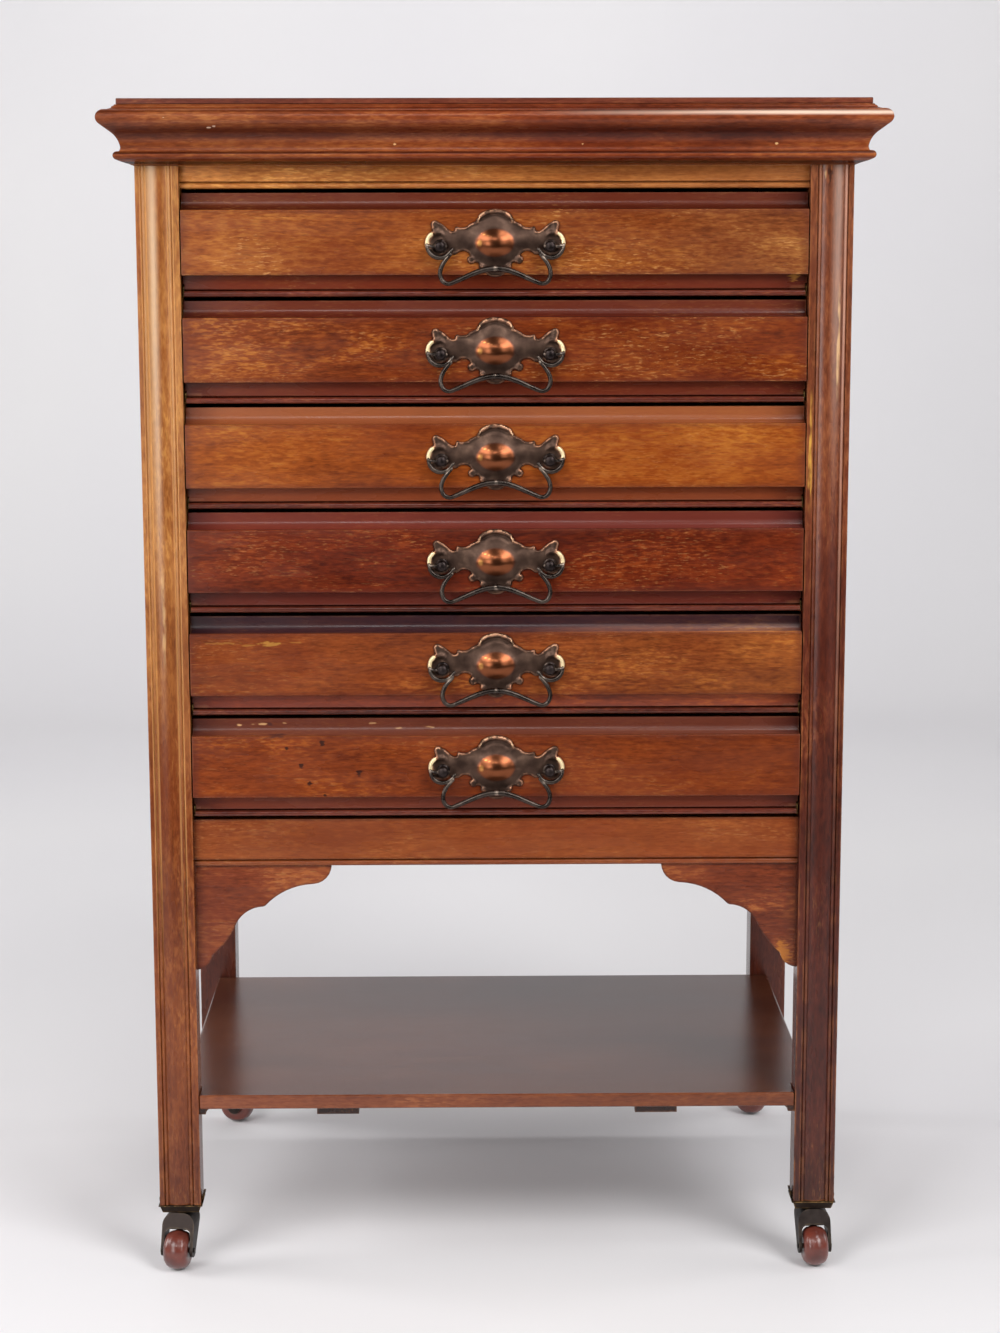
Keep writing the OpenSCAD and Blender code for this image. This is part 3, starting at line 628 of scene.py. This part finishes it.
def pressed_sheet():
    """The plate's mesh: a fine grid cut to the outline and raised into its relief"""
    outline = plate_outline()
    fence = [Vector(p) for p in outline]
    reach_x = max(x for x, _ in outline) + 1
    reach_z = 27.5
    bm = bmesh.new()
    bmesh.ops.create_grid(bm, x_segments=round(2 * reach_x * MM / PLATE_STEP),
                          y_segments=round(2 * reach_z * MM / PLATE_STEP), size=1)
    bmesh.ops.scale(bm, vec=(reach_x, reach_z, 1), verts=bm.verts)

    def nearest(point):
        """Distance to the outline, and the outline's nearest point"""
        best, foot = 1e9, None
        for a, b in zip(fence, fence[1:] + fence[:1]):
            along = b - a
            t = min(max((point - a).dot(along) / along.length_squared, 0), 1)
            spot = a + along * t
            gap = (point - spot).length
            if gap < best:
                best, foot = gap, spot
        return best, foot

    def inside(point):
        """Whether a point lies within the outline"""
        found = False
        for a, b in zip(fence, fence[1:] + fence[:1]):
            if (a.y > point.y) != (b.y > point.y):
                if point.x < a.x + (point.y - a.y) / (b.y - a.y) * (b.x - a.x):
                    found = not found
        return found

    outer = [f for f in bm.faces if not inside(Vector(f.calc_center_median()[:2]))]
    bmesh.ops.delete(bm, geom=outer, context="FACES")
    for vert in bm.verts:
        if vert.is_boundary:
            vert.co.x, vert.co.y = nearest(Vector(vert.co[:2]))[1]
    bmesh.ops.remove_doubles(bm, verts=bm.verts, dist=0.12)
    rub_and_highlight_layer = bm.verts.layers.float.new("rub")
    rim_wear_and_highlight_layer = bm.verts.layers.float.new("rolled")
    for vert in bm.verts:
        rim = 0.0 if vert.is_boundary else nearest(Vector(vert.co[:2]))[0]
        vert.co.z, vert[rub_and_highlight_layer], vert[rim_wear_and_highlight_layer] = pressed(vert.co.x, vert.co.y, rim)
    bmesh.ops.scale(bm, vec=(MM, MM, MM), verts=bm.verts)
    bmesh.ops.recalc_face_normals(bm, faces=bm.faces)
    if sum(f.normal.z for f in bm.faces) < 0:
        bmesh.ops.reverse_faces(bm, faces=bm.faces)
    return mesh_from(bm, "pressed_sheet")


def turned(profile, steps=28):
    """A round piece turned about the z axis, from (radius, height) points in millimetres"""
    bm = bmesh.new()
    verts = [bm.verts.new((r * MM, 0, z * MM)) for r, z in profile]
    line = [bm.edges.new(pair) for pair in zip(verts, verts[1:])]
    bmesh.ops.spin(bm, geom=verts + line, cent=(0, 0, 0), axis=(0, 0, 1),
                   angle=math.radians(360), steps=steps, use_merge=True)
    bmesh.ops.remove_doubles(bm, verts=bm.verts, dist=0.005 * MM)
    bmesh.ops.recalc_face_normals(bm, faces=bm.faces)
    return bm


def rod(bm, points, radii, sides=14):
    """A round rod swept through points, drawn out ring by ring, with domed ends"""
    path = [Vector(p) for p in points]
    rings = []
    for i, (point, radius) in enumerate(zip(path, radii)):
        ahead = (path[min(i + 1, len(path) - 1)] - path[max(i - 1, 0)]).normalized()
        turn = ahead.to_track_quat("Z", "Y").to_matrix().to_4x4()
        made = bmesh.ops.create_circle(bm, cap_ends=False, segments=sides, radius=radius,
                                       matrix=Matrix.Translation(point) @ turn)
        rings.append(made["verts"])
    for a, b in zip(rings, rings[1:]):
        edges = [e for v in a for e in v.link_edges if e.other_vert(v) in a]
        edges += [e for v in b for e in v.link_edges if e.other_vert(v) in b]
        bmesh.ops.bridge_loops(bm, edges=list(set(edges)))
    for ring, inner, outward in ((rings[0], path[1], path[0]), (rings[-1], path[-2], path[-1])):
        cap = bmesh.ops.contextual_create(bm, geom=ring)["faces"]
        away = (outward - inner).normalized() * (ring[0].co - outward).length * 0.8
        poked = bmesh.ops.poke(bm, faces=cap)["verts"]
        bmesh.ops.translate(bm, verts=poked, vec=away)


def smooth_path(points, steps=5):
    """A round curve through points, finely divided"""
    path = [Vector(p) for p in points]
    ends = [path[0] * 2 - path[1]] + path + [path[-1] * 2 - path[-2]]
    fine = []
    for a, b, c, d in zip(ends, ends[1:], ends[2:], ends[3:]):
        for i in range(steps):
            t = i / steps
            fine.append(0.5 * (2 * b + (c - a) * t + (2 * a - 5 * b + 4 * c - d) * t ** 2
                               + (3 * b - a - 3 * c + d) * t ** 3))
    return fine + [path[-1]]


def thicknesses(count, start, middle, end):
    """Radii that swell from start to middle and fall to end"""
    half = (count - 1) / 2
    return [
        (start + (middle - start) * math.sin(math.pi / 2 * i / half)) if i <= half
        else (end + (middle - end) * math.sin(math.pi / 2 * (count - 1 - i) / half))
        for i in range(count)
    ]


def grip_radii(count):
    """The grip's radii, which swell from its curl and again towards its middle"""
    return [1.35 + 0.35 * min(i / 12, 1) + 0.75 * max(0, i / count - 0.55) / 0.45
            for i in range(count)]


def bail_mesh():
    """Wavy grip with its two crescents, curls and pins, in the handle's plane"""
    bm = bmesh.new()
    crescent = [(x, z, 0) for x, z in arc(41.0, -2.0, 9.3, 4, -148, 16)] + [(31.4, -4.6, 0.2)]
    grip = smooth_path([
        (32.8, -8.4, 0), (35.4, -11.4, 0), (38.3, -15.2, 0), (40.3, -19.6, 0.2), (40.7, -24.2, 0.5),
        (38.6, -28.6, 0.7), (34.6, -30.2, 0.8), (30.0, -28.8, 0.8), (24.0, -26.2, 0.8),
        (17.0, -23.1, 0.8), (10.0, -20.6, 0.8), (4.5, -19.4, 0.8), (0, -19.1, 0.8),
    ])
    pin = [(36.2, -3.0, 0), (39.5, -3.0, 0), (46, -3.0, 0), (50.2, -2.4, 0)]
    rod(bm, crescent, thicknesses(len(crescent), 1.2, 1.75, 1.25))
    rod(bm, grip, grip_radii(len(grip)))
    rod(bm, pin, [1.3] * 4)
    copied = bmesh.ops.duplicate(bm, geom=bm.verts[:] + bm.edges[:] + bm.faces[:])["geom"]
    other = verts_of(copied)
    bmesh.ops.scale(bm, vec=(-1, 1, 1), verts=other)
    bmesh.ops.remove_doubles(bm, verts=[v for v in bm.verts if abs(v.co.x) < 0.02], dist=0.03)
    bmesh.ops.scale(bm, vec=(MM, MM, MM), verts=bm.verts)
    bmesh.ops.translate(bm, vec=(0, 0, BAIL_OUT), verts=bm.verts)
    bmesh.ops.recalc_face_normals(bm, faces=bm.faces)
    return mesh_from(bm, "bail")


def post_mesh():
    """Both posts with their collars and domed heads"""
    bm = turned([(0, 10.3), (1.8, 10.1), (3.3, 9.4), (4.2, 8.2), (4.3, 6.6), (3.7, 5.6), (3.5, 3.6),
                 (4.2, 2.9), (4.8, 2.6), (5.2, 2.1), (5.2, 1.4)])
    first = bm.verts[:]
    copied = bmesh.ops.duplicate(bm, geom=bm.verts[:] + bm.edges[:] + bm.faces[:])["geom"]
    bmesh.ops.translate(bm, vec=(POST.x, POST.y, 0), verts=first)
    bmesh.ops.translate(bm, vec=(-POST.x, POST.y, 0), verts=verts_of(copied))
    return mesh_from(bm, "handle_posts")


def hang(mesh, name, material, body, k):
    """A copy of a handle's mesh in its place on drawer k"""
    copy = mesh.copy()
    copy.transform(handle_place(k))
    copy.materials.clear()
    copy.materials.append(material)
    piece = bpy.data.objects.new("%s_%d" % (name, k), copy)
    collection.objects.link(piece)
    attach(piece, "%s_%d" % (body, k))
    return piece


def fit_handle(k):
    """Plate, posts and bail of drawer k, in place of its plain ones"""
    plate = hang(sheet_mesh, "pressed_plate", copper, "fall", k)
    wall = plate.modifiers.new("sheet_thickness", "SOLIDIFY")
    wall.thickness = 0.9 * MM
    wall.offset = -1
    hang(posts_mesh, "bail_posts", dark_posts, "fall", k)
    grip = hang(grip_mesh, "bail_grip", bronze, "grip", k)
    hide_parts("handle_plate_%d" % k)
    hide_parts("bail_%d" % k)


# Case

RED = palette((56, 22, 14), (92, 40, 25), (128, 66, 42))
WARM = palette((74, 28, 15), (118, 52, 26), (160, 88, 46))
DARK_EDGE = srgb(52, 24, 16)
PALE_WOOD = srgb(222, 176, 120)
YELLOW_WOOD = srgb(214, 160, 72)

# Shadows in the cornice's hollows: depth under its top and half the height, in millimetres,
# and the share of light that is left
CORNICE_SHADOWS = ((2.7, 0.9, 0.75), (5.4, 0.8, 0.5), (20.3, 6, 0.5), (34.7, 1.4, 0.3),
                   (39.8, 4, 0.62), (41.6, 1.2, 0.3), (49.8, 11, 0.15))


def dress_cornice():
    """Top board and cornice, with small chips, painted shadows in its hollows, painted light over its
    nose and a painted highlight along its round
    """
    crown = palette((80, 34, 24), (126, 62, 42), (168, 98, 66))
    soften("top_board",
           mahogany("top_wood", "x", 1, **crown, flecks=0.1, wear=0.1, rim=DARK_EDGE,
                    rim_reach=1.4 * MM, figure=0.35, smear=0.012))

    top = cornice_high.z
    shading_bands = [(top - depth * MM, half * MM, (left, left * 0.8, left * 0.8))
             for depth, half, left in CORNICE_SHADOWS]
    # Painted light over the nose
    shading_bands.append((top - 10.8 * MM, 8 * MM, (1.2, 1.25, 1.3)))
    cove_z = cornice_low.z + 15 * MM
    nose_z = top - 14 * MM
    chips = [(x * MM, cove_z, 2 * MM, 1.6 * MM, srgb(236, 190, 130), 0.9) for x in (-73.5, 64, 206)]
    chips += [(x * MM, nose_z + rise * MM, 2.6 * MM, 1 * MM, srgb(228, 196, 168), 0.8)
              for x, rise in ((-240, 4), (-204, -2), (-208, -3))]
    soften("cornice_moulding",
           mahogany("cornice_wood", "x", 2, **WARM, flecks=0.08, wear=0.15, grime_and_shade=0.7, figure=0.8,
                    polish=0.22, shading_bands=shading_bands, marks=chips,
                    shades=[("Z", top - 21.8 * MM, top - 26.8 * MM, (1.2, 1.2, 1.1)),
                            ("X", 0.05, -0.26, (1.05, 1.3, 1.3)),
                            ("X", 0.05, 0.26, (1.2, 1.4, 1.42))],
                    # Painted highlight along the top of the nose, on its right half
                    painted_highlights=[("Z", top - 6.8 * MM, 5 * MM, "X", 0, 0.25, srgb(248, 214, 190), 0.85)]),
           arris=0.5 * MM)


def dress_left_leg():
    """Golden above and redder below, with painted highlights along its round and fillets, and painted
    light in its grooves
    """
    golden = palette((101, 48, 21), (144, 84, 39), (184, 122, 65))
    middle = leg_mid_x(-1)
    outer = -leg_high.x
    painted_highlights = [("X", middle - 7 * MM, 14 * MM, "Z", 0.45, 0.75, srgb(220, 176, 120), 0.34),
             ("X", middle - 3.4 * MM, 10 * MM, "Z", 0.5, 0.8, srgb(240, 208, 166), 0.38),
             ("X", outer + 24.8 * MM, 3 * MM, "Z", 0.3, 0.7, srgb(220, 170, 116), 0.45),
             ("X", outer + 5.6 * MM, 3 * MM, "Z", 0.3, 0.7, srgb(196, 146, 98), 0.4)]
    # Painted light in the grooves, which lifts their shade
    painted_highlights += [("X", outer + groove * MM, 2.4 * MM, "Z", 0.2, 0.4, srgb(236, 176, 110), 0.6)
              for groove in (3.9, 7.2, 23.2, 26.7)]
    wood = mahogany(
        "left_leg_wood", "z", 3, **golden, flecks=0.22, grime_and_shade=0, wear=0.5, painted_highlights=painted_highlights,
        shades=[("Z", 0.62, 0.3, (0.6, 0.42, 0.36)), ("Z", 0.7, 0.84, (1.22, 1.38, 1.3)),
                ("Z", 0.14, 0.05, (0.62, 0.55, 0.6))],
        streaks=[(middle - 2 * MM, 4 * MM, leg_high.z - 420 * MM, leg_high.z - 330 * MM,
                  PALE_WOOD, 0.6)],
    )
    soften("leg_front_left", wood, arris=0.6 * MM)


def dress_right_leg():
    """Darker and redder than the left leg, with a dark stain near its top and painted highlights
    along its round and fillets
    """
    middle = leg_mid_x(1)
    outer = leg_high.x
    wood = mahogany(
        "right_leg_wood", "z", 4, **RED, flecks=0.15, grime_and_shade=0, wear=0.5,
        shades=[("Z", 0.5, 0.82, (1.8, 2.45, 2.05)), ("Z", 0.55, 0.25, (0.7, 0.62, 0.68)),
                ("Z", 0.14, 0.05, (0.62, 0.7, 0.7))],
        painted_highlights=[("X", middle + 4.5 * MM, 12 * MM, "Z", 0.58, 0.84, srgb(212, 180, 162), 0.38),
               ("X", outer - 24.8 * MM, 3 * MM, "Z", 0.62, 0.8, srgb(196, 136, 108), 0.2),
               ("X", outer - 5.6 * MM, 3.4 * MM, "Z", 0.3, 0.8, srgb(206, 156, 134), 0.7)],
        marks=[(middle - 2 * MM, leg_high.z - 46 * MM, 3.4 * MM, 11 * MM, DARK_EDGE, 0.85),
               (middle - 5 * MM, leg_high.z - 44 * MM, 1.6 * MM, 7 * MM, PALE_WOOD, 0.5)],
        streaks=[(outer - 9.5 * MM, 3 * MM, leg_high.z - 215 * MM, leg_high.z - 120 * MM,
                  PALE_WOOD, 0.85),
                 (leg_low.x + 3 * MM, 3 * MM, leg_high.z - 300 * MM, leg_high.z - 200 * MM,
                  YELLOW_WOOD, 0.95)],
    )
    soften("leg_front_right", wood, arris=0.6 * MM)


def dress_back_legs():
    for side, shift in (("left", 5), ("right", 6)):
        soften("leg_back_" + side,
               mahogany(side + "_back_leg_wood", "z", shift, **RED, figure=0.5, flecks=0.1))


def dress_rails():
    """Both rails and the brackets under the lower one"""
    frieze = palette((150, 84, 38), (204, 130, 64), (236, 168, 100))
    soften("frieze_rail",
           mahogany("frieze_wood", "x", 7, **frieze, figure=0.6, wear=0.15, flecks=0.1,
                    shades=[("X", 0, 0.2, (0.76, 0.7, 0.8)), ("X", -0.1, -0.2, (1.12, 1.15, 1.1))]),
           arris=0.4 * MM)
    orange = palette((116, 52, 22), (144, 74, 34), (170, 98, 50))
    soften("lower_rail",
           mahogany("rail_wood", "x", 8, **orange, figure=0.4, wear=0.1, rim=DARK_EDGE,
                    rim_reach=2.5 * MM),
           arris=0.4 * MM)
    soften("brackets",
           mahogany("bracket_wood", "x", 9, **WARM, figure=0.8, wear=0, rim=DARK_EDGE,
                    rim_reach=2 * MM, grime_and_shade=0.7,
                    marks=[(leg_low.x - 11 * MM, rail_foot_z - 75 * MM, 14 * MM, 22 * MM,
                            srgb(176, 108, 40), 0.8)]),
           arris=0.8 * MM)


def dress_panels():
    """Sides, shelf with its battens, back, bottom and runners"""
    soften("side_panels",
           mahogany("side_wood", "z", 10, **WARM, figure=0.3, flecks=0.12, smear=0.012))
    brown = palette((68, 34, 24), (96, 54, 36), (122, 74, 50))
    soften("shelf",
           mahogany("shelf_wood", "x", 11, **brown, gloss=0.24, figure=0.4, flecks=0.03, smear=0.004,
                    # Painted shade darkens the shelf towards the right, and painted light lightens
                    # its front edge
                    shades=[("X", -0.2, 0.2, (0.66, 0.6, 0.52)),
                            ("Y", -0.163, -0.166, (2.1, 1.9, 1.5))]),
           arris=1.6 * MM, steps=4)
    # Near black: painted shade on the battens under the shelf
    deep = palette((26, 12, 9), (42, 20, 14), (62, 32, 22))
    soften("shelf_battens", mahogany("batten_wood_painted_dark", "y", 12, **deep))
    paint("back_panel", mahogany("back_wood", "z", 13, **RED, gloss=0.5, figure=0.3, flecks=0.05))
    paint("bottom_board", bare_wood("bottom_wood", "x", 14))
    paint("drawer_runners", bare_wood("runner_wood", "y", 15))


# Drawers

# Each front from the top drawer down: the tones of its wood, how strong its figure and flecks are,
# the tone of the coved band behind its field, partly its own and partly a painted reflection, the
# tint of its strip, the painted light and shade on its ledge and where along X it starts, and how
# the field changes from left to right
FRONTS = {
    1: dict(wood=palette((86, 34, 16), (140, 72, 30), (182, 112, 50)), figure=1.0, flecks=0.6,
            band=(96, 38, 24), strip=(1.2, 1.0, 0.85), ledge_light=(0.5, 0.4, 0.42), ledge_light_start=-0.6,
            shades=[("X", -0.2, -0.08, (0.84, 0.76, 0.72)), ("X", 0.0, 0.06, (0.82, 0.78, 0.85)),
                    ("X", 0.1, 0.2, (1.14, 1.45, 1.8))]),
    2: dict(wood=palette((80, 32, 15), (126, 58, 25), (170, 98, 42)), figure=1.0, flecks=0.38,
            band=(99, 42, 28), strip=(1.1, 1.0, 0.9), ledge_light=(0.62, 0.52, 0.54), ledge_light_start=-0.6,
            shades=[("X", -0.2, -0.05, (0.84, 0.72, 0.6)), ("X", 0.02, 0.1, (0.84, 0.76, 0.86)),
                    ("X", 0.14, 0.22, (1.16, 1.24, 1.12))]),
    3: dict(wood=palette((96, 40, 14), (148, 74, 26), (190, 118, 46)), figure=0.8, flecks=0.15,
            band=(150, 84, 50), strip=(0.72, 0.54, 0.5), ledge_light=(0.8, 0.75, 0.75), ledge_light_start=-0.6,
            shades=[("X", -0.2, -0.08, (0.88, 0.8, 0.78))]),
    4: dict(wood=palette((66, 21, 10), (110, 42, 18), (150, 68, 28)), figure=0.9, flecks=0.26,
            band=(110, 48, 38), strip=(0.8, 0.75, 0.7), ledge_light=(1.0, 1.05, 1.2), ledge_light_start=-0.1,
            shades=[("X", -0.2, -0.1, (0.9, 0.82, 0.86)), ("X", 0.0, 0.08, (0.82, 0.8, 0.86)),
                    ("X", 0.12, 0.22, (1.35, 1.42, 1.25))]),
    5: dict(wood=palette((84, 34, 16), (136, 66, 29), (176, 100, 44)), figure=0.65, flecks=0.18,
            band=(34, 24, 34), strip=(6.0, 4.0, 1.9), ledge_light=(4.2, 4.8, 3.4), ledge_light_start=-0.06,
            shades=[("X", -0.14, -0.24, (0.74, 0.64, 0.54)), ("X", 0, 0.2, (1.3, 1.6, 1.5))]),
    6: dict(wood=palette((82, 30, 12), (128, 56, 21), (164, 86, 32)), figure=0.7, flecks=0.18,
            band=(94, 46, 34), strip=(1.3, 1.15, 1.05), ledge_light=(1.2, 1.4, 1.5), ledge_light_start=-0.6,
            shades=[("X", -0.2, 0.2, (0.86, 0.88, 1.0))]),
}

# Knots, smudges and rubbed places on some fronts, by colour. Each is x, depth under the front's
# top, width and height in millimetres, and amount
FRONT_MARKS = {
    1: {(180, 122, 52): [(223, 62.5, 9, 6, 0.8)]},
    5: {(214, 160, 72): [(-171, 20, 16, 3.4, 0.4), (-205, 19.5, 24, 2.2, 0.18),
                         (-187, 21, 10, 1.8, 0.2), (-152, 19, 12, 1.4, 0.18)]},
    6: {(50, 22, 14): [(-160, 22, 3, 3, 0.95), (-133, 18, 4, 4, 0.95), (-149, 35, 4, 4, 0.95),
                       (-105, 41, 4.4, 4.4, 0.95), (-143, 49, 4.2, 4.2, 0.95),
                       (-131, 58, 3.4, 3.4, 0.95)],
        (56, 34, 36): [(-173, 4.5, 5, 3.4, 0.6), (-167, 12, 11, 3.4, 0.6)],
        (222, 172, 118): [(-196, 5, 4, 1.7, 0.75), (-186, 4.5, 5, 1.7, 0.3),
                          (-178, 4.5, 7, 1.7, 0.6), (-162, 3.5, 4, 1.7, 0.35),
                          (-94, 4, 7, 1.7, 0.35), (-75, 8, 9, 1.7, 0.4), (-51, 7, 9, 1.7, 0.4)]},
}


def front_marks(k, top):
    """The marks of front k at their real places"""
    return [(x * MM, top - depth * MM, wide * MM, high * MM, srgb(*tone), amount)
            for tone, spots in FRONT_MARKS.get(k, {}).items()
            for x, depth, wide, high, amount in spots]


def dress_drawer(k):
    """Front, nosing, box, hinge pins and handle of drawer k"""
    look = FRONTS[k]
    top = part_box("fall_front_%d" % k)[1].z
    recess = dict(tone=srgb(*look["band"]), ledge_light=look["ledge_light"], ledge_light_start=look["ledge_light_start"],
                  strip=look["strip"], top=top)
    front = mahogany("front_wood_%d" % k, "x", 20 + k, **look["wood"], wear=0.15, grime_and_shade=0.65,
                     figure=look["figure"], flecks=look["flecks"], shades=look["shades"],
                     recess=recess, rim=srgb(86, 36, 26), marks=front_marks(k, top))
    soften("fall_front_%d" % k, front, "fall_%d" % k, arris=0.45 * MM)

    nose = palette((62, 23, 16), (104, 43, 30), (138, 68, 46))
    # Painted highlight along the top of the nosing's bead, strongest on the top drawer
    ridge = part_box("nosing_%d" % k)[1].z - 2 * MM
    highlight_share = 0.8 if k == 1 else 0.5
    edge = mahogany("nosing_wood_%d" % k, "x", 30 + k, **nose, gloss=0.2, flecks=0.1, figure=0.5,
                    painted_highlights=[("Z", ridge, 3.6 * MM, "X", -0.04, 0.08, srgb(240, 182, 140), highlight_share)])
    soften("nosing_%d" % k, edge, "drawer_%d" % k, arris=0.3 * MM, steps=2)
    paint("drawer_box_%d" % k, bare_wood("drawer_stock_%d" % k, "y", 40 + k))
    paint("hinge_pins_%d" % k, hinge_brass)
    fit_handle(k)


def wheel_mesh(axle):
    """A barrel-shaped wheel turned about its axle's joint"""
    low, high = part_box("wheel_1")
    tread = (high.z - low.z) / 2 / MM
    # Half its width, the radius of its rounded edge, the rise of its tread and the radius of its
    # bore, in millimetres
    half, edge, crown, bore = 9.5, 6, 0.9, 2.1
    shoulder = arc(tread - crown - edge, edge - half, edge, -90, -8, 10)
    last = shoulder[-1]
    belly = [(tread - (tread - last[0]) * (i / 4) ** 2, last[1] * i / 4) for i in (3, 2, 1)]
    lower = [(bore, -half)] + shoulder + belly
    profile = lower + [(tread, 0)] + [(r, -z) for r, z in reversed(lower)] + [(bore, -half)]
    bm = turned(profile, steps=64)
    turn = Vector(axle["axis"]).to_track_quat("Z", "Y").to_matrix().to_4x4()
    bmesh.ops.transform(bm, matrix=Matrix.Translation(axle["pos_m"]) @ turn, verts=bm.verts)
    mesh = mesh_from(bm, "glazed_wheel")
    mesh.materials.append(wheel_glaze)
    return mesh


def dress_castors():
    joints = {joint["name"]: joint for joint in frame["joints"]}
    soften("castor_sockets", cup_metal, arris=0.3 * MM, steps=2)
    for i, corner in CASTORS.items():
        soften("castor_horn_%d" % i, castor_metal, "castor_" + corner,
               arris=0.5 * MM)
        wheel = bpy.data.objects.new("glazed_wheel_%d" % i,
                                     wheel_mesh(joints["roller_%s_axle" % corner]))
        collection.objects.link(wheel)
        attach(wheel, "roller_" + corner)
        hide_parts("wheel_%d" % i)


# Stage, light and camera


def paper_floor():
    """A pale sheet that runs over the floor and up behind the cabinet"""
    # In metres: half its width and depth, the radius of its bend, the wall's height and the
    # distance that it is set back
    half_wide, half_deep, bend, wall, set_back = 4, 1.65, 0.9, 3.5, 0.45
    bm = bmesh.new()
    bmesh.ops.create_grid(bm, x_segments=1, y_segments=1, size=1)
    bmesh.ops.scale(bm, vec=(half_wide, half_deep, 1), verts=bm.verts)
    back = [e for e in bm.edges if all(v.co.y > half_deep - 0.01 for v in e.verts)]
    bmesh.ops.spin(bm, geom=back, cent=(0, half_deep, bend), axis=(1, 0, 0),
                   angle=math.radians(90), steps=20)
    rim = max(v.co.y for v in bm.verts)
    top = [e for e in bm.edges if all(v.co.y > rim - 1e-4 for v in e.verts)]
    geom = bmesh.ops.extrude_edge_only(bm, edges=top)["geom"]
    bmesh.ops.translate(bm, vec=(0, 0, wall), verts=verts_of(geom))
    bmesh.ops.translate(bm, vec=(0, set_back, 0), verts=bm.verts)
    bmesh.ops.recalc_face_normals(bm, faces=bm.faces)
    mesh = mesh_from(bm, "paper_floor")
    paper = Finish("pale_paper")
    tooth = paper.noise(paper.place, scale=220, detail=3)
    colour = paper.tones(paper.noise(paper.place, scale=0.9, detail=2),
                         [(0.3, srgb(226, 224, 227)), (0.7, srgb(233, 231, 232))])
    paper.relief((tooth, 0.05, 0.3 * MM))
    mesh.materials.append(paper.surface(base_color=colour, roughness=0.75, specular_ior_level=0.25))
    floor = bpy.data.objects.new("paper_floor", mesh)
    collection.objects.link(floor)


def soft_box(name, place, aim, width, height, power):
    """A large soft light that faces a point, with its sides in metres and its power in watts"""
    lamp = bpy.data.lights.new(name, "AREA")
    lamp.shape = "RECTANGLE"
    lamp.size = width
    lamp.size_y = height
    lamp.energy = power
    stand = bpy.data.objects.new(name, lamp)
    stand.location = place
    stand.rotation_euler = (Vector(aim) - Vector(place)).to_track_quat("-Z", "Y").to_euler()
    collection.objects.link(stand)


def light_the_studio():
    world = bpy.data.worlds.new("studio")
    world.use_nodes = True
    air = world.node_tree.nodes["Background"]
    air.inputs["Color"].default_value = srgb(226, 226, 232)
    air.inputs["Strength"].default_value = 1.0
    world.cycles_visibility.diffuse = False
    world.cycles_visibility.glossy = False
    bpy.context.scene.world = world
    soft_box("key_left_high", (-1.5, -1.9, 2.2), (0, 0, 0.6), 1.4, 1.2, 34)
    soft_box("key_right_high", (1.5, -1.9, 2.2), (0, 0, 0.6), 1.2, 1.2, 40)
    soft_box("key_middle", (-0.1, -2.2, 1.9), (0, 0, 0.6), 0.6, 0.4, 6)
    soft_box("low_left", (-1.6, -2.2, 1.15), (0, 0, 0.75), 1.5, 1.7, 8)
    soft_box("low_right", (1.45, -2.2, 1.1), (0, 0, 0.75), 1.0, 1.4, 9)
    soft_box("side_left", (-2.5, 0.1, 1.3), (0, 0.2, 0.5), 1.3, 1.6, 40)
    soft_box("side_right", (2.5, 0.2, 1.3), (0, 0.2, 0.5), 1.3, 1.6, 18)
    soft_box("backdrop_soft", (0, 0.9, 2.6), (0, 2.6, 1.2), 2.6, 0.6, 26)
    soft_box("strip_left", (-1.0, -2.0, 0.6), (-0.25, 0, 0.7), 0.7, 0.9, 8)
    soft_box("overhead_right", (0.75, -0.9, 2.4), (0.25, -0.15, 0.85), 0.7, 0.35, 7)


# The photographed view, fitted to the front legs, the back legs and the shelf. Its angles are in
# degrees and its lens in millimetres
VIEW = dict(place=(-0.0196, -2.0952, 0.8017), yaw=0.669, pitch=9.498, roll=-0.118, lens=69.51)


def set_camera():
    yaw, pitch, roll = (math.radians(VIEW[key]) for key in ("yaw", "pitch", "roll"))
    level = Vector((math.cos(yaw), -math.sin(yaw), 0))
    ahead = Vector((math.sin(yaw), math.cos(yaw), 0)) * math.cos(pitch)
    ahead.z = -math.sin(pitch)
    upright = level.cross(ahead)
    right = level * math.cos(roll) + upright * math.sin(roll)
    up = upright * math.cos(roll) - level * math.sin(roll)
    lens = bpy.data.cameras.new("view")
    lens.lens = VIEW["lens"]
    lens.sensor_width = 36
    lens.sensor_fit = "AUTO"
    camera = bpy.data.objects.new("view", lens)
    camera.matrix_world = Matrix((
        (right.x, up.x, -ahead.x, VIEW["place"][0]),
        (right.y, up.y, -ahead.y, VIEW["place"][1]),
        (right.z, up.z, -ahead.z, VIEW["place"][2]),
        (0, 0, 0, 1),
    ))
    collection.objects.link(camera)
    bpy.context.scene.camera = camera


copper = pressed_copper()
dark_posts = dark_bronze("dark_posts", srgb(56, 48, 47), srgb(130, 112, 100), rough=0.32)
bronze = dark_bronze("dark_bronze", srgb(76, 67, 62), srgb(178, 160, 144), rough=0.23)
hinge_brass = dark_bronze("hinge_brass", srgb(128, 104, 62), srgb(190, 160, 100))
cup_metal = dark_bronze("cup_metal", srgb(62, 53, 47), srgb(176, 140, 86), rough=0.36)
castor_metal = dark_bronze("castor_metal", srgb(66, 58, 55), srgb(104, 90, 74), rough=0.4)
wheel_glaze = brown_glaze()
sheet_mesh = pressed_sheet()
posts_mesh = post_mesh()
grip_mesh = bail_mesh()

dress_cornice()
dress_left_leg()
dress_right_leg()
dress_back_legs()
dress_rails()
dress_panels()
for k in DRAWERS:
    dress_drawer(k)
dress_castors()
paper_floor()
light_the_studio()
set_camera()
bpy.context.scene.view_settings.view_transform = "Standard"
